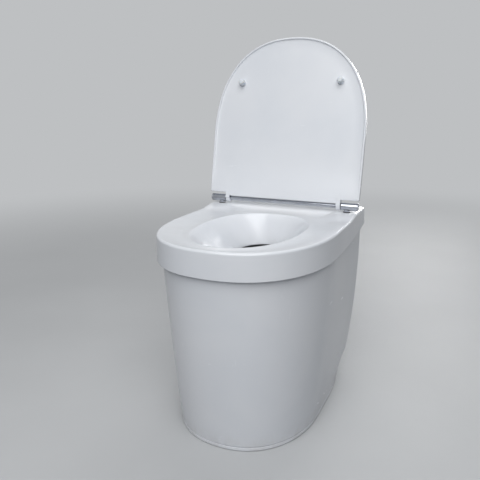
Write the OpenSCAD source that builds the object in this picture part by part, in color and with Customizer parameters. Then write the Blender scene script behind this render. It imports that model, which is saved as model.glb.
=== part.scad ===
// Waterless urine-separating toilet for the corner of a room: a tapered casing on a low plinth,
// a one-piece seat unit with a dished bowl, a D-shaped lid on a chromed rod hinge, and inside a
// solids bucket, a urine canister and an extraction fan that blows out through the rear wall.
// Millimetres, +Z up, front towards -Y, right-hand side towards +X. The origin is on the floor,
// on the plane of symmetry, half way between the front and the back of the plinth.

/* [Seat unit] */
// Height of the seat above the floor
seat_height = 440; // [430:1:455]
// Width of the seat unit
seat_width = 383; // [376:1:392]
// Distance from the origin to the front of the skirt
seat_front = 264.5; // [260:0.5:275]
// Distance from the origin to the rear face of the hinge deck
seat_rear = 222; // [221:1:232]
// Depth of the skirt below the seat
skirt_depth = 55; // [50:1:60]
// How much higher the skirt's lower edge is at the rear
skirt_sweep = 23; // [0:1:30]
// Wall of the seat unit
seat_wall = 3.5; // [3:0.1:4.5]
// How much higher the hinge deck is than the seat
deck_rise = 6; // [3:0.5:9]
// Roundness of the seat's outer edge
seat_edge_r = 5; // [4:0.5:7]

/* [Bowl] */
// Width of the bowl opening between its crests
bowl_width = 235; // [215:1:245]
// Distance from the origin to the front crest of the bowl
bowl_front = 230; // [222:1:234]
// Distance from the origin to the rear crest of the bowl
bowl_rear = 101; // [96:1:108]
// Width of the hole over the bucket
hole_width = 116; // [104:1:124]
// Length of the hole over the bucket
hole_length = 134; // [120:1:140]
// Distance from the origin back to the middle of the hole
hole_y = 15; // [10:1:20]
// Depth of the hole's rim below the seat
hole_drop = 74; // [66:1:80]
// Depth of the urine funnel below the seat
funnel_depth = 90; // [84:1:96]
// Distance from the origin forward to the urine drain
drain_front = 125; // [118:1:132]

/* [Casing] */
// Width of the casing at the floor
foot_width = 318; // [310:1:326]
// Width of the casing's rear edge at the floor
foot_rear_width = 279; // [270:1:296]
// Distance from the origin to the front of the casing at the floor
foot_front = 223; // [217:0.5:228]
// Distance from the origin to the rear face of the casing
casing_rear = 218; // [212:1:219]
// Wall of the casing
casing_wall = 3; // [2.5:0.1:4]
// Height of the plinth under the casing
plinth_height = 9; // [8:0.5:14]
// Thickness of the base plate
base_plate = 6; // [5:0.5:7]

/* [Lid] */
// Width of the lid
lid_width = 387; // [380:1:396]
// Length of the lid from its notched rear edge to its front
lid_length = 379; // [374:1:383]
// Thickness of the lid over its rim
lid_depth = 16; // [14:0.5:18]
// Depth of the recess inside the lid's rim
lid_recess = 4; // [3:0.5:8]
// Width of the lid's rim
lid_rim = 5; // [4:0.5:8]
// Opening angle of the lid from closed to resting open
lid_open_angle = 101.3; // [95:0.1:103]
// Distance of each buffer from the plane of symmetry
buffer_x = 125; // [115:1:135]

/* [Hinge] */
// Height of the hinge axis above the deck
hinge_height = 13.6; // [12.5:0.1:16]
// Distance from the origin back to the hinge axis
hinge_y = 139; // [134:1:144]
// Diameter of the chromed barrels
barrel_d = 18; // [16:0.5:20]
// Length of a barrel
barrel_length = 38; // [34:1:40]
// Distance of a barrel's inner end from the seat's side
barrel_inset = 41; // [39.5:0.5:43.5]
// Diameter of the rod between the lugs
rod_d = 10; // [8:0.5:11]
// Diameter of the rod's pins inside the barrels
pin_d = 7; // [6:0.5:7.5]
// Width of a lug
lug_width = 10; // [8:0.5:14]

/* [Bucket and canister] */
// Height of the bucket
bucket_height = 292; // [270:1:300]
// Diameter of the bucket's mouth
bucket_top_d = 252; // [240:1:256]
// Diameter of the bucket's foot
bucket_foot_d = 208; // [196:1:214]
// Wall of the bucket
bucket_wall = 2.5; // [2:0.1:3]
// Clearance between the bucket's rim and the canister's collar
bucket_gap = 3; // [2:0.5:5]
// Height of the canister's shoulder above the base plate
canister_height = 250; // [220:1:258]
// Width of the canister
canister_width = 236; // [210:1:240]
// Distance from the origin to the canister's rear face
canister_rear = 92; // [90:1:98]
// Wall of the canister
canister_wall = 2.5; // [2:0.1:3]

/* [Ventilation] */
// Outside diameter of the vent spigot
spigot_d = 75; // [70:1:80]
// Length of the spigot behind the casing
spigot_length = 40; // [20:1:60]
// How far the fan's axis lies below the seat
fan_drop = 88; // [80:1:94]
// Side of the square fan frame
fan_size = 80; // [80:1:84]
// Depth of the fan frame
fan_depth = 25; // [20:1:26]
// Number of fan blades
fan_blades = 7; // [5:1:9]

/* [Power inlet] */
// Diameter of the socket's bore
inlet_bore_d = 5.6; // [5:0.1:6.5]
// Distance of the socket from the plane of symmetry
inlet_x = 96; // [80:1:104]
// Height of the socket above the floor
inlet_z = 62; // [50:1:90]

/* [Hidden] */
$fa = 6;
$fs = 1;

// Clearances
fit_gap = 0.3;      // between pieces that seat on each other round a curve
running_gap = 0.05; // between the rod's pins and their bushes
cut = 1;            // how far a cutting tool runs past the face that it cuts

// Stations round every D-shaped outline
front_n = 32;
side_n = 6;
corner_n = 3;
rear_n = 8;
front_power = 2.3;  // squareness of the rounded front
casing_power = 2.2;
straight_y = -25;   // where the rounded front meets the sides
taper_y = 60;       // where the sides start to draw in towards the rear

// Plan sizes of the casing's head, which sits inside the skirt
skirt_clearance = 3;
head_width = seat_width - 2 * (seat_wall + skirt_clearance);
head_front = seat_front - seat_wall - skirt_clearance;
head_rear_width = head_width - 4;
foot_wall_extra = 0.4;
lip_height = 2;     // height of the casing's drawn-in lower lip
casing_corner_r = 14;
rear_wall_y = casing_rear - casing_wall;
seat_corner_r = 10;
seat_taper = 1;     // how much narrower each side is at the rear
head_drop = 16;     // from the seat's top down to the casing's rim
head_z = seat_height - head_drop;
seal_height = 4;
seal_inset = 0.3;
ledge_z = head_z + seal_height;
skirt_z = seat_height - skirt_depth;
skirt_lean = 1;
ledge_width = 8;
sweep_start_y = -40;
sweep_power = 2.2;

// Bucket and canister
rim_depth = 8;
rim_reach = 4;
grip_reach = 18;
grip_width = 96;
bucket_floor = 3.5;
grip_root = 1;      // from the rim to the finger gap
grip_lip = 2.5;
canister_gap = 24;  // between the canister and the casing's foot, at the front
canister_power = 2.4;
canister_corner_r = 12;
canister_foot_r = 4;
canister_shoulder = 12;
canister_shoulder_drop = 14;
neck_d = 50;
neck_height = 16;
collar_d = 72;
collar_height = 34;
collar_wall = 2.5;
collar_lift = 2;    // from the canister's shoulder to the collar
collar_seat = 0.4;  // thickness of the flange that lies on the neck
collar_grip = 3;    // wall of the collar round the neck
bucket_y = bucket_top_d / 2 + rim_reach + bucket_gap + collar_d / 2 - drain_front;

// Seat and bowl
deck_z = seat_height + deck_rise;
seat_dish = 2;
crest_front_drop = 1.5;
crest_side_drop = 5;
crest_rear_drop = 3.8;
bowl_rear_share = 0.44; // share of the bowl's length that lies behind its widest place
bowl_rear_power = 2.5;  // squareness of the crest's plan behind its widest place
bowl_rear_length = bowl_rear_share * (bowl_rear + bowl_front);
bowl_front_length = bowl_rear + bowl_front - bowl_rear_length;
bowl_y = bowl_rear - bowl_rear_length;
hole_z = seat_height - hole_drop;
dam_rise = 8;
funnel_floor_z = seat_height - funnel_depth;
funnel_half_width = 46;
funnel_half_length = 40;
crest_reach = 20;   // how far the crest's rounding reaches into the bowl
rear_toe = 0.1;     // how far the wall stands out at its toe, as a share of its plan width
front_toe = 0.35;
toe_height = 0.3;
bowl_rings = 12;
seat_rings = 6;
deck_flat = 0.4;    // share of the way from the rim to the crest over which the deck stays flat
lip_depth = 14;
lip_wall = 3;
drain_bore_d = 22.6;
drain_boss_d = 34;
drain_z = funnel_floor_z + 4;   // top of the drain's flange, just below the surface round it
drain_boss_depth = 10;
drain_boss_z = drain_z - drain_boss_depth;
drain_flange_d = 30;
drain_flange_h = 1.5;
drain_cup = 6;      // how far the drain's round seat is cut free above the flange
drain_nut_d = 38;
drain_nut_h = 8;
spout_d = 22;
spout_bore_d = 17;
spout_gap = 4;      // from the canister's neck to the spout's tip
spout_tip_z = base_plate + canister_height + neck_height + spout_gap;
spout_length = drain_z - spout_tip_z;
chute_wall = 2.5;
chute_drop = 3.5;   // from the bowl's underside to the sleeve's upper edge
chute_shoulder = 4;
chute_dip = 6;      // how far the chute reaches into the bucket
chute_taper = 5;
liner_wall = 1.2;   // the chute's upright rim, which lines the seat's lip
liner_drop = 1.5;   // from the hole's rim down to the liner's edge

// Hinge
hinge_z = deck_z + hinge_height;
barrel_x = seat_width / 2 - barrel_inset;
post_d = 13;
post_offset = 13;   // from the barrel's inner end to the post
post_x = barrel_x + post_offset;
washer_d = post_d + 4;
washer_height = 1.5;
stud_d = 8;
stud_hole_d = stud_d + 2 * fit_gap;
stud_length = 40;
deck_boss_d = 26;
deck_boss_height = 12;
deck_bottom_z = deck_z - deck_boss_height;
barrel_wall = 1.5;
bush_gap = 0.1;     // round the bush and the cap's plug inside the barrel
bush_start_x = barrel_x + 0.5;
bush_d = barrel_d - 2 * barrel_wall - 2 * bush_gap;
bush_length = 28;
pin_end_gap = 2;    // from the end of a pin to the end of its bush
cap_depth = 2;
cap_plug = 4;
lug_d = 19;
lug_side_gap = 1.5;
lug_end_x = barrel_x - lug_side_gap;
lug_x = lug_end_x - lug_width;
nut_d = 18;
nut_h = 8;
nut_wing = 24;      // span of the wings
nut_wing_width = 4;
nut_wing_drop = 4;  // how far the wings reach below the nut

// The ramp from the seat up to the hinge deck
ramp_length = 60;
ramp_end_y = hinge_y - washer_d / 2 - 0.5;
ramp_start_y = ramp_end_y - ramp_length;

// Lid, in its closed position
lid_gap = 11;       // how far the rim's face lies below the hinge axis
lid_edge = 14.4;    // from the axis to the lid's notched rear edge
lid_strip_edge = 5.9;
lid_bottom_z = hinge_z - lid_gap;
lid_power = 2.31;
lid_nose = 235;     // length of the lid's rounded front
lid_taper = 0.5;    // how much narrower each side is at the rear
lid_corner_r = 3;
lid_chamfer = 1;
lid_edge_r = 7;
lid_dish = 22;      // width of the curve between the rim and the recess's floor
lid_root = 3;       // how far the strip and the lugs run into the lid
lid_strip_lap = 2;  // how far the strip runs into each lug
buffer_reach = 289; // from the axis to the buffers
buffer_d = 16;
buffer_dip = 3.1;   // how much lower the dished seat is under the buffers
buffer_bottom_z = seat_height - buffer_dip;

// Ventilation
fan_z = seat_height - fan_drop;
gasket_depth = 2;
flange_depth = 3;
fan_back_y = rear_wall_y - gasket_depth - flange_depth;
fan_front_y = fan_back_y - fan_depth;
fan_bore_d = fan_size - 4;
fan_screw_pitch = fan_size - 8.5;
fan_screw_d = 4;
fan_screw_hole_d = 4.4;
fan_head_d = 7;
fan_head_h = 2.5;
fan_thread = casing_wall - 0.5;     // depth of the screws' holes in the rear wall
fan_screw_length = rear_wall_y + fan_thread - fit_gap - fan_front_y;
spigot_wall = 2.5;
register_d = spigot_d + 2;  // centres the duct in the wall's hole
flange_size = fan_size + 8;
motor_d = 30;
motor_depth = 8;
motor_inset = 0.5;  // from the frame's back face to the motor's
spider_width = 4;
spider_depth = 3;
spider_inset = 1;
shaft_d = 4;
shaft_start = 4;    // from the fan's front to the end of the shaft
impeller_d = fan_bore_d - 3;
hub_d = 32;
hub_start = 2;      // from the fan's front to the hub
hub_length = fan_depth - motor_depth - 2 * hub_start;
blade_pitch = 32;
blade_width = 2;
blade_lap = 3;      // how far a blade runs into the hub
grille_depth = 2;
grille_step = 7.4;
grille_wire = 1.6;
grille_eye_d = 8;

// Power inlet and the fan's lead
inlet_body_d = 11;
inlet_flange_d = 16;
inlet_flange_h = 1.5;
inlet_length = 16;
inlet_nut_d = 15;
inlet_nut_h = 3;
inlet_bore_depth = 9.5;
inlet_mouth_d = 9.2; // takes the plug's collar
inlet_mouth_depth = 5;
lead_d = 4;
clip_places = [0.257, 0.52, 0.785];  // shares of the lead's rise from the inlet to the fan
clip_wall = 1.5;
clip_width = 14;
clip_height = 8;
lead_y = rear_wall_y - clip_wall - lead_d / 2;
lead_start_y = casing_rear - inlet_length;
lead_drop = 25;     // from the fan's axis to where the lead enters its frame
lead_end_z = fan_z - lead_drop;
lead_bend = 9;      // how far the lead bows out behind the socket and beside the frame
lead_step = 12;     // from point to point up the wall
lead_turn = 37;     // height of the turn towards the fan
lead_run = 28;      // length of the level run into the frame
lead_route = [
    [inlet_x, lead_start_y, inlet_z],
    [inlet_x, lead_start_y - 2 / 3 * lead_bend, inlet_z],
    [inlet_x, lead_start_y - lead_bend, inlet_z + lead_step / 2],
    [inlet_x, lead_start_y - 7 / 9 * lead_bend, inlet_z + 4 / 3 * lead_step],
    [inlet_x, lead_y - 2 / 9 * lead_bend, inlet_z + 7 / 3 * lead_step],
    for (z = [inlet_z + 10 / 3 * lead_step:lead_step:lead_end_z - lead_turn]) [inlet_x, lead_y, z],
    [inlet_x - lead_bend / 3, lead_y, lead_end_z - 0.57 * lead_turn],
    [inlet_x - 4 / 3 * lead_bend, lead_y, lead_end_z - 0.27 * lead_turn],
    [fan_size / 2 + lead_run, lead_y - lead_bend / 9, lead_end_z - 0.08 * lead_turn],
    [fan_size / 2 + lead_run / 2, lead_y - 7 / 9 * lead_bend, lead_end_z],
    [fan_size / 2 + lead_run / 4, lead_y - lead_bend, lead_end_z],
    [fan_size / 2, lead_y - lead_bend, lead_end_z]
];

// Base and its screws
plinth_groove = 2.5;
plinth_round = 3.5;
plinth_inset = 0.5; // from the casing's face to the plinth's
plinth_ring = 6;    // width of the ring that the casing stands on
boss_stations = [front_n - 11, front_n - 4, front_n + 1, front_n + 5];
boss_d = 14;
boss_height = 22;
boss_bore = 19;
screw_d = 4;
screw_play = 0.01;  // round the thread in its pilot hole
screw_hole_d = 4.6;
screw_length = 18;
floor_hole_d = 7;
floor_hole_x = 60;
floor_hole_y = 196;
foot_ring_height = 5;
foot_ring_wall = 3;
foot_clearance = 1.5;
screw_sink = 3;
screw_head = 2.5;
screw_head_d = 8;

chrome = [0.80, 0.82, 0.84];
white = [0.93, 0.94, 0.95];
grey = [0.62, 0.64, 0.66];
dark = [0.16, 0.17, 0.18];
blue_grey = [0.36, 0.42, 0.48];

// ---------------------------------------------------------------- outlines and lofts

function mix(a, b, t) = a + (b - a) * t;
function signed_pow(v, p) = sign(v) * pow(abs(v), p);
function smooth(t) = let (u = min(1, max(0, t))) u * u * (3 - 2 * u);

// D-shaped outline, counter-clockwise: rounded front, sides that draw in, rear corners, flat rear.
// The stations keep their order at any size, so that outlines can be lofted into each other.
function d_outline(half, rear_half, front, rear, r, straight = straight_y, power = front_power) =
    let (
        nose = front + straight,
        side_end = rear - r,
        taper_length = side_end - taper_y,
        side = [for (i = [1:side_n])
            let (
                y = mix(straight, side_end, i / side_n),
                t = max(0, y - taper_y) / taper_length
            )
            [mix(half, rear_half, t * t), y]],
        corner = [for (i = [1:corner_n])
            let (a = 90 * i / corner_n)
            [rear_half - r + r * cos(a), rear - r + r * sin(a)]],
        back = [for (i = [1:rear_n - 1]) [mix(rear_half - r, r - rear_half, i / rear_n), rear]]
    )
    concat(
        [for (i = [0:front_n])
            let (a = 180 * i / front_n)
            [-half * signed_pow(cos(a), 2 / power), straight - nose * signed_pow(sin(a), 2 / power)]],
        side,
        corner,
        back,
        [for (i = [corner_n:-1:1]) [-corner[i - 1][0], corner[i - 1][1]]],
        [for (i = [side_n:-1:1]) [-side[i - 1][0], side[i - 1][1]]]
    );

function at_z(outline, z) = [for (p = outline) [p[0], p[1], z]];

// Triangles between neighbouring rings of n points each
function ring_faces(rings, n, closed) =
    [for (k = [0:(closed ? rings : rings - 1) - 1])
        let (a = k * n, b = ((k + 1) % rings) * n)
        for (i = [0:n - 1])
            let (j = (i + 1) % n)
            for (f = [[a + i, b + i, b + j], [a + i, b + j, a + j]]) f];

function flatten(rings) = [for (r = rings) for (p = r) p];

// Shell whose rings run up the outside and back down the inside
module ring_loft(rings) {
    polyhedron(points = flatten(rings), faces = ring_faces(len(rings), len(rings[0]), true), convexity = 8);
}

// Closed solid whose rings run from its bottom to its top. The triangles of its ends fan out from
// the rounded front of the ring, where none of them is flat.
module solid_loft(rings) {
    n = len(rings[0]);
    nose = round(0.28 * n);
    last = (len(rings) - 1) * n;
    faces = concat(
        ring_faces(len(rings), n, false),
        [[for (i = [0:n - 1]) (i + nose) % n]],
        [[for (i = [n - 1:-1:0]) last + (i + nose) % n]]
    );
    polyhedron(points = flatten(rings), faces = faces, convexity = 8);
}

module on_y_axis(y, z, x = 0) {
    translate([x, y, z]) rotate([-90, 0, 0]) children();
}

module both_sides() {
    children();
    mirror([1, 0, 0]) children();
}

// ---------------------------------------------------------------- casing and base

// How far the casing has widened at a share t of its height
function casing_flare(t) = t + 0.26 * t * (1 - t);
function casing_rear_flare(t) = 0.25 * smooth(t / 0.16) + 0.75 * (1 - pow(1 - t, 2.3));

function casing_outline(z, inset = 0) =
    let (
        t = (z - plinth_height) / (head_z - plinth_height),
        half = mix(foot_width, head_width, casing_flare(t)) / 2,
        rear_half = mix(foot_rear_width, head_rear_width, casing_rear_flare(t)) / 2,
        front = mix(foot_front, head_front, casing_flare(t))
    )
    d_outline(half - inset, rear_half - inset, front - inset, casing_rear - inset, casing_corner_r - inset,
              power = casing_power);

function casing_ring(z, inset = 0) = at_z(casing_outline(z, inset), z);

casing_steps = [0.03, 0.06, 0.1, 0.14, 0.2, 0.3, 0.44, 0.6, 0.8, 1];
function casing_z(t) = mix(plinth_height + lip_height, head_z, t);

// The bosses for the base's screws touch the drawn-in lip from the inside
boss_points = let (plan = casing_outline(plinth_height + lip_height, plinth_groove + boss_d / 2))
    [for (i = boss_stations) plan[i]];

module casing() {
    color(white)
    difference() {
        union() {
            ring_loft(concat(
                [at_z(casing_outline(plinth_height, plinth_groove), plinth_height)],
                [casing_ring(plinth_height + lip_height)],
                [for (t = casing_steps) casing_ring(casing_z(t))],
                [for (i = [len(casing_steps) - 1:-1:1]) casing_ring(casing_z(casing_steps[i]), casing_wall)],
                [casing_ring(casing_z(casing_steps[0]), casing_wall + foot_wall_extra)],
                [at_z(casing_outline(plinth_height, casing_wall + plinth_groove), plinth_height)]
            ));
            both_sides() for (p = boss_points)
                translate([p[0], p[1], base_plate + fit_gap]) cylinder(d = boss_d, h = boss_height);
        }
        both_sides() for (p = boss_points)
            translate([p[0], p[1], base_plate + fit_gap - cut]) cylinder(d = screw_d, h = boss_bore + cut);
        on_y_axis(rear_wall_y - cut, fan_z)
            cylinder(d = register_d + 2 * fit_gap, h = casing_wall + 2 * cut);
        on_y_axis(rear_wall_y - cut, inlet_z, inlet_x)
            cylinder(d = inlet_body_d + 2 * fit_gap, h = casing_wall + 2 * cut);
        fan_corners(rear_wall_y - cut) cylinder(d = fan_screw_d, h = fan_thread + cut);
    }
}

function plinth_outline(inset) = casing_outline(plinth_height + lip_height, plinth_inset + inset);

module base() {
    color(white)
    difference() {
        union() {
            difference() {
                solid_loft(concat(
                    [for (a = [90:-30:0])
                        at_z(plinth_outline(plinth_round * (1 - cos(a))), plinth_round * (1 - sin(a)))],
                    [at_z(plinth_outline(0), plinth_height)]
                ));
                translate([0, 0, base_plate]) linear_extrude(plinth_height)
                    polygon(plinth_outline(plinth_ring));
            }
            translate([0, bucket_y, base_plate - cut]) rotate_extrude()
                translate([bucket_foot_d / 2 + foot_clearance, 0])
                square([foot_ring_wall, foot_ring_height + cut]);
            translate([0, 0, base_plate - cut]) linear_extrude(foot_ring_height + cut) difference() {
                polygon(canister_outline(-foot_clearance - foot_ring_wall));
                polygon(canister_outline(-foot_clearance));
            }
        }
        both_sides() for (p = boss_points) translate([p[0], p[1], 0]) {
            translate([0, 0, -cut]) cylinder(d = screw_hole_d, h = base_plate + 2 * cut);
            translate([0, 0, -cut]) cylinder(d = screw_head_d + 1, h = screw_sink + cut);
            translate([0, 0, base_plate]) cylinder(d = boss_d + 2 * fit_gap, h = foot_ring_height + cut);
        }
        both_sides() for (y = [-floor_hole_y, floor_hole_y])
            translate([floor_hole_x, y, -cut]) cylinder(d = floor_hole_d, h = base_plate + 2 * cut);
    }
}

// Pan-head screw along +Z with its head's outer face at z = 0
module pan_screw(length, head_d, head_h) {
    cylinder(d = screw_d - 2 * screw_play, h = length);
    cylinder(d = head_d, h = head_h);
}

module base_screws() {
    color(chrome)
    both_sides() for (p = boss_points)
        translate([p[0], p[1], screw_sink - screw_head]) pan_screw(screw_length, screw_head_d, screw_head);
}

module casing_seal() {
    color(dark)
    translate([0, 0, head_z]) linear_extrude(seal_height) difference() {
        polygon(casing_outline(head_z, seal_inset));
        polygon(casing_outline(head_z, casing_wall - seal_inset));
    }
}

// ---------------------------------------------------------------- seat unit

function seat_outline(inset) =
    let (half = seat_width / 2 - inset)
    d_outline(half, half - seat_taper, seat_front - inset, seat_rear - inset,
              max(2, seat_corner_r - inset / 2));

// Height of the skirt's lower edge, which sweeps up towards the rear
function skirt_low(y) =
    skirt_z + skirt_sweep * pow(max(0, y - sweep_start_y) / (seat_rear - sweep_start_y), sweep_power);

function deck_share(y) = smooth((y - ramp_start_y) / (ramp_end_y - ramp_start_y));
function seat_level(y) = seat_height + deck_rise * deck_share(y);

rim_plan = seat_outline(skirt_lean + seat_edge_r);
ledge_plan = seat_outline(seat_wall + ledge_width);
stations = len(rim_plan);
station_angle = [for (p = rim_plan)
    atan2((p[1] - bowl_y) / (p[1] > bowl_y ? bowl_rear_length : bowl_front_length), p[0] / (bowl_width / 2))];

function frontness(a) = max(0, -sin(a));
function sideness(a) = cos(a) * cos(a);
function rearness(a) = max(0, sin(a));
function crest_point(i) =
    let (
        a = station_angle[i],
        e = 2 / bowl_rear_power
    )
    sin(a) > 0
        ? [bowl_width / 2 * signed_pow(cos(a), e), bowl_y + bowl_rear_length * signed_pow(sin(a), e)]
        : [bowl_width / 2 * cos(a), bowl_y + bowl_front_length * sin(a)];
function crest_z(i) =
    let (a = station_angle[i])
    seat_height - crest_front_drop * frontness(a) - crest_side_drop * sideness(a)
        - crest_rear_drop * rearness(a);
function hole_point(i) =
    let (a = station_angle[i])
    [hole_width / 2 * cos(a), hole_y + hole_length / 2 * sin(a)];
function hole_rim_z(i) = hole_z + dam_rise * pow(frontness(station_angle[i]), 2);

// Height of the seat at a share s of the way to the crest, level first where the deck is
function seat_z(i, y, s) =
    let (
        flat = deck_flat * deck_share(y),
        t = max(0, s - flat) / (1 - flat)
    )
    mix(seat_level(y), crest_z(i), smooth(t)) - seat_dish * sin(180 * t);

// Seat surface at a share s of the way from the outer edge to the crest of the bowl
function seat_point(i, s) =
    let (p = rim_plan[i] * (1 - s) + crest_point(i) * s)
    [p[0], p[1], seat_z(i, p[1], s)];

// Underside of the seat, from the inner edge of the ledge that rests on the seal to the crest
function seat_under_point(i, s) =
    let (p = ledge_plan[i] * (1 - s) + crest_point(i) * s)
    [p[0], p[1], seat_z(i, p[1], s) - seat_wall];

function bezier(a, b, c, d, t) =
    pow(1 - t, 3) * a + 3 * pow(1 - t, 2) * t * b + 3 * (1 - t) * t * t * c + t * t * t * d;

// Pull towards the urine drain at a point of the plan, from 0 far away to 1 at the drain
function funnel_pull(x, y) =
    exp(-pow(x / funnel_half_width, 2) - pow((y + drain_front) / funnel_half_length, 2));

// Section of the bowl at a station: distances from the hole's rim and heights, from crest to hole
function bowl_section(i) =
    let (
        c = crest_point(i),
        h = hole_point(i),
        w = norm(c - h),
        u = (c - h) / w,
        top = crest_z(i),
        low = hole_rim_z(i),
        start = min(crest_reach, 0.8 * w),
        toe = mix(rear_toe, front_toe, frontness(station_angle[i])) * w
    )
    [for (j = [0:bowl_rings])
        let (
            t = j / bowl_rings,
            r = bezier(w, w - start, toe, 0, t),
            z = bezier(top, top, mix(low, top, toe_height), low, t),
            p = h + u * r
        )
        [r, mix(z, funnel_floor_z, funnel_pull(p[0], p[1]))]];

sections = [for (i = [0:stations - 1]) bowl_section(i)];

function along_section(i, r, z) =
    let (
        c = crest_point(i),
        h = hole_point(i),
        p = h + (c - h) / norm(c - h) * r
    )
    [p[0], p[1], z];

function bowl_ring(j) = [for (i = [0:stations - 1]) along_section(i, sections[i][j][0], sections[i][j][1])];

// The bowl's underside, one wall below its surface square to the section
function bowl_under_ring(j) =
    [for (i = [0:stations - 1])
        let (
            s = sections[i],
            d = s[j + 1] - s[j - 1],
            n = [-d[1], d[0]] / norm(d)
        )
        along_section(i, s[j][0] + seat_wall * n[0], s[j][1] + seat_wall * n[1])];

function lip_ring(r, z) = [for (i = [0:stations - 1]) along_section(i, r, z)];

function skirt_ring(inset, share) =
    [for (p = seat_outline(inset))
        [p[0], p[1], mix(skirt_low(p[1]), seat_level(p[1]) - seat_edge_r, share)]];

function edge_ring(angle) =
    [for (p = seat_outline(skirt_lean + seat_edge_r * (1 - cos(angle))))
        [p[0], p[1], seat_level(p[1]) - seat_edge_r * (1 - sin(angle))]];

module seat_shell() {
    ring_loft(concat(
        [skirt_ring(0, 0), skirt_ring(0.5 * skirt_lean, 0.5)],
        [for (a = [0:30:90]) edge_ring(a)],
        [for (k = [1:seat_rings]) [for (i = [0:stations - 1]) seat_point(i, k / seat_rings)]],
        [for (j = [1:bowl_rings]) bowl_ring(j)],
        [lip_ring(0, hole_z - lip_depth), lip_ring(lip_wall, hole_z - lip_depth)],
        [[for (i = [0:stations - 1]) along_section(i, lip_wall, hole_rim_z(i) - seat_wall)]],
        [for (j = [bowl_rings - 1:-1:1]) bowl_under_ring(j)],
        [for (k = [seat_rings:-1:0]) [for (i = [0:stations - 1]) seat_under_point(i, k / seat_rings)]],
        [at_z(ledge_plan, ledge_z), at_z(seat_outline(seat_wall), ledge_z)],
        [[for (p = seat_outline(seat_wall)) [p[0], p[1], skirt_low(p[1])]]]
    ));
}

module seat_top() {
    color(white)
    difference() {
        union() {
            seat_shell();
            both_sides() translate([post_x, hinge_y, deck_bottom_z])
                cylinder(d = deck_boss_d, h = deck_boss_height - 1);
            translate([0, -drain_front, drain_boss_z]) cylinder(d = drain_boss_d, h = drain_boss_depth + 1);
        }
        both_sides() translate([post_x, hinge_y, deck_bottom_z - cut])
            cylinder(d = stud_hole_d, h = deck_boss_height + 2 * cut);
        translate([0, -drain_front, drain_boss_z - cut])
            cylinder(d = drain_bore_d, h = drain_boss_depth + 2 * cut);
        translate([0, -drain_front, drain_z - drain_flange_h])
            cylinder(d = drain_flange_d + 2 * fit_gap, h = drain_flange_h + drain_cup);
    }
}

module drain_spout() {
    color(white)
    translate([0, -drain_front, spout_tip_z]) difference() {
        union() {
            cylinder(d = spout_d, h = spout_length);
            translate([0, 0, spout_length - drain_flange_h]) cylinder(d = drain_flange_d, h = drain_flange_h);
        }
        translate([0, 0, -cut]) cylinder(d = spout_bore_d, h = spout_length + 2 * cut);
    }
}

module drain_nut() {
    color(grey)
    translate([0, -drain_front, drain_boss_z - drain_nut_h]) difference() {
        cylinder(d = drain_nut_d, h = drain_nut_h, $fn = 8);
        translate([0, 0, -cut]) cylinder(d = spout_d + 2 * running_gap, h = drain_nut_h + 2 * cut);
    }
}

function ellipse_ring(a, b, z) =
    [for (i = [0:47]) [a * cos(7.5 * i), hole_y + b * sin(7.5 * i), z]];

module drop_chute() {
    a = hole_width / 2;
    b = hole_length / 2;
    sleeve = lip_wall + fit_gap;
    outer = sleeve + chute_wall;
    top = hole_z - seat_wall - chute_drop;
    lip_z = hole_z - lip_depth - fit_gap;
    low = base_plate + bucket_height - chute_dip;
    mouth = chute_wall - chute_taper;
    liner = fit_gap + liner_wall;
    liner_z = hole_z - liner_drop;
    color(dark)
    ring_loft([
        ellipse_ring(a + mouth, b + mouth, low),
        ellipse_ring(a + outer, b + outer, lip_z - chute_shoulder),
        ellipse_ring(a + outer, b + outer, top),
        ellipse_ring(a + sleeve, b + sleeve, top),
        ellipse_ring(a + sleeve, b + sleeve, lip_z),
        ellipse_ring(a - fit_gap, b - fit_gap, lip_z),
        ellipse_ring(a - fit_gap, b - fit_gap, liner_z),
        ellipse_ring(a - liner, b - liner, liner_z),
        ellipse_ring(a - liner, b - liner, lip_z - chute_shoulder),
        ellipse_ring(a - chute_taper, b - chute_taper, low)
    ]);
}

// ---------------------------------------------------------------- hinge, for the right-hand side

module on_axis(x) {
    translate([x, hinge_y, hinge_z]) rotate([0, 90, 0]) children();
}

module hinge_post() {
    color(chrome)
    difference() {
        union() {
            translate([post_x, hinge_y, deck_z + washer_height]) {
                cylinder(d = post_d, h = hinge_height);
                translate([0, 0, -stud_length]) cylinder(d = stud_d, h = stud_length);
            }
        }
        on_axis(post_x - barrel_length) cylinder(d = barrel_d + 2 * screw_play, h = 2 * barrel_length);
    }
}

module hinge_barrel() {
    color(chrome)
    difference() {
        on_axis(barrel_x) cylinder(d = barrel_d, h = barrel_length);
        on_axis(barrel_x - cut) cylinder(d = barrel_d - 2 * barrel_wall, h = barrel_length + 2 * cut);
    }
}

module hinge_bush() {
    color(dark)
    difference() {
        on_axis(bush_start_x) cylinder(d = bush_d, h = bush_length);
        on_axis(bush_start_x - cut) cylinder(d = pin_d + 2 * running_gap, h = bush_length + 2 * cut);
    }
}

module barrel_cap() {
    color(chrome)
    union() {
        on_axis(barrel_x + barrel_length) cylinder(d = barrel_d, h = cap_depth);
        on_axis(barrel_x + barrel_length - cap_plug) cylinder(d = bush_d, h = cap_plug);
    }
}

module hinge_post_right() { hinge_post(); }
module hinge_post_left() { mirror([1, 0, 0]) hinge_post(); }
module hinge_barrel_right() { hinge_barrel(); }
module hinge_barrel_left() { mirror([1, 0, 0]) hinge_barrel(); }
module hinge_bush_right() { hinge_bush(); }
module hinge_bush_left() { mirror([1, 0, 0]) hinge_bush(); }
module barrel_cap_right() { barrel_cap(); }
module barrel_cap_left() { mirror([1, 0, 0]) barrel_cap(); }

module hinge_washers() {
    color(dark)
    both_sides() translate([post_x, hinge_y, deck_z]) difference() {
        cylinder(d = washer_d, h = washer_height);
        translate([0, 0, -cut]) cylinder(d = stud_hole_d, h = washer_height + 2 * cut);
    }
}

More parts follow.
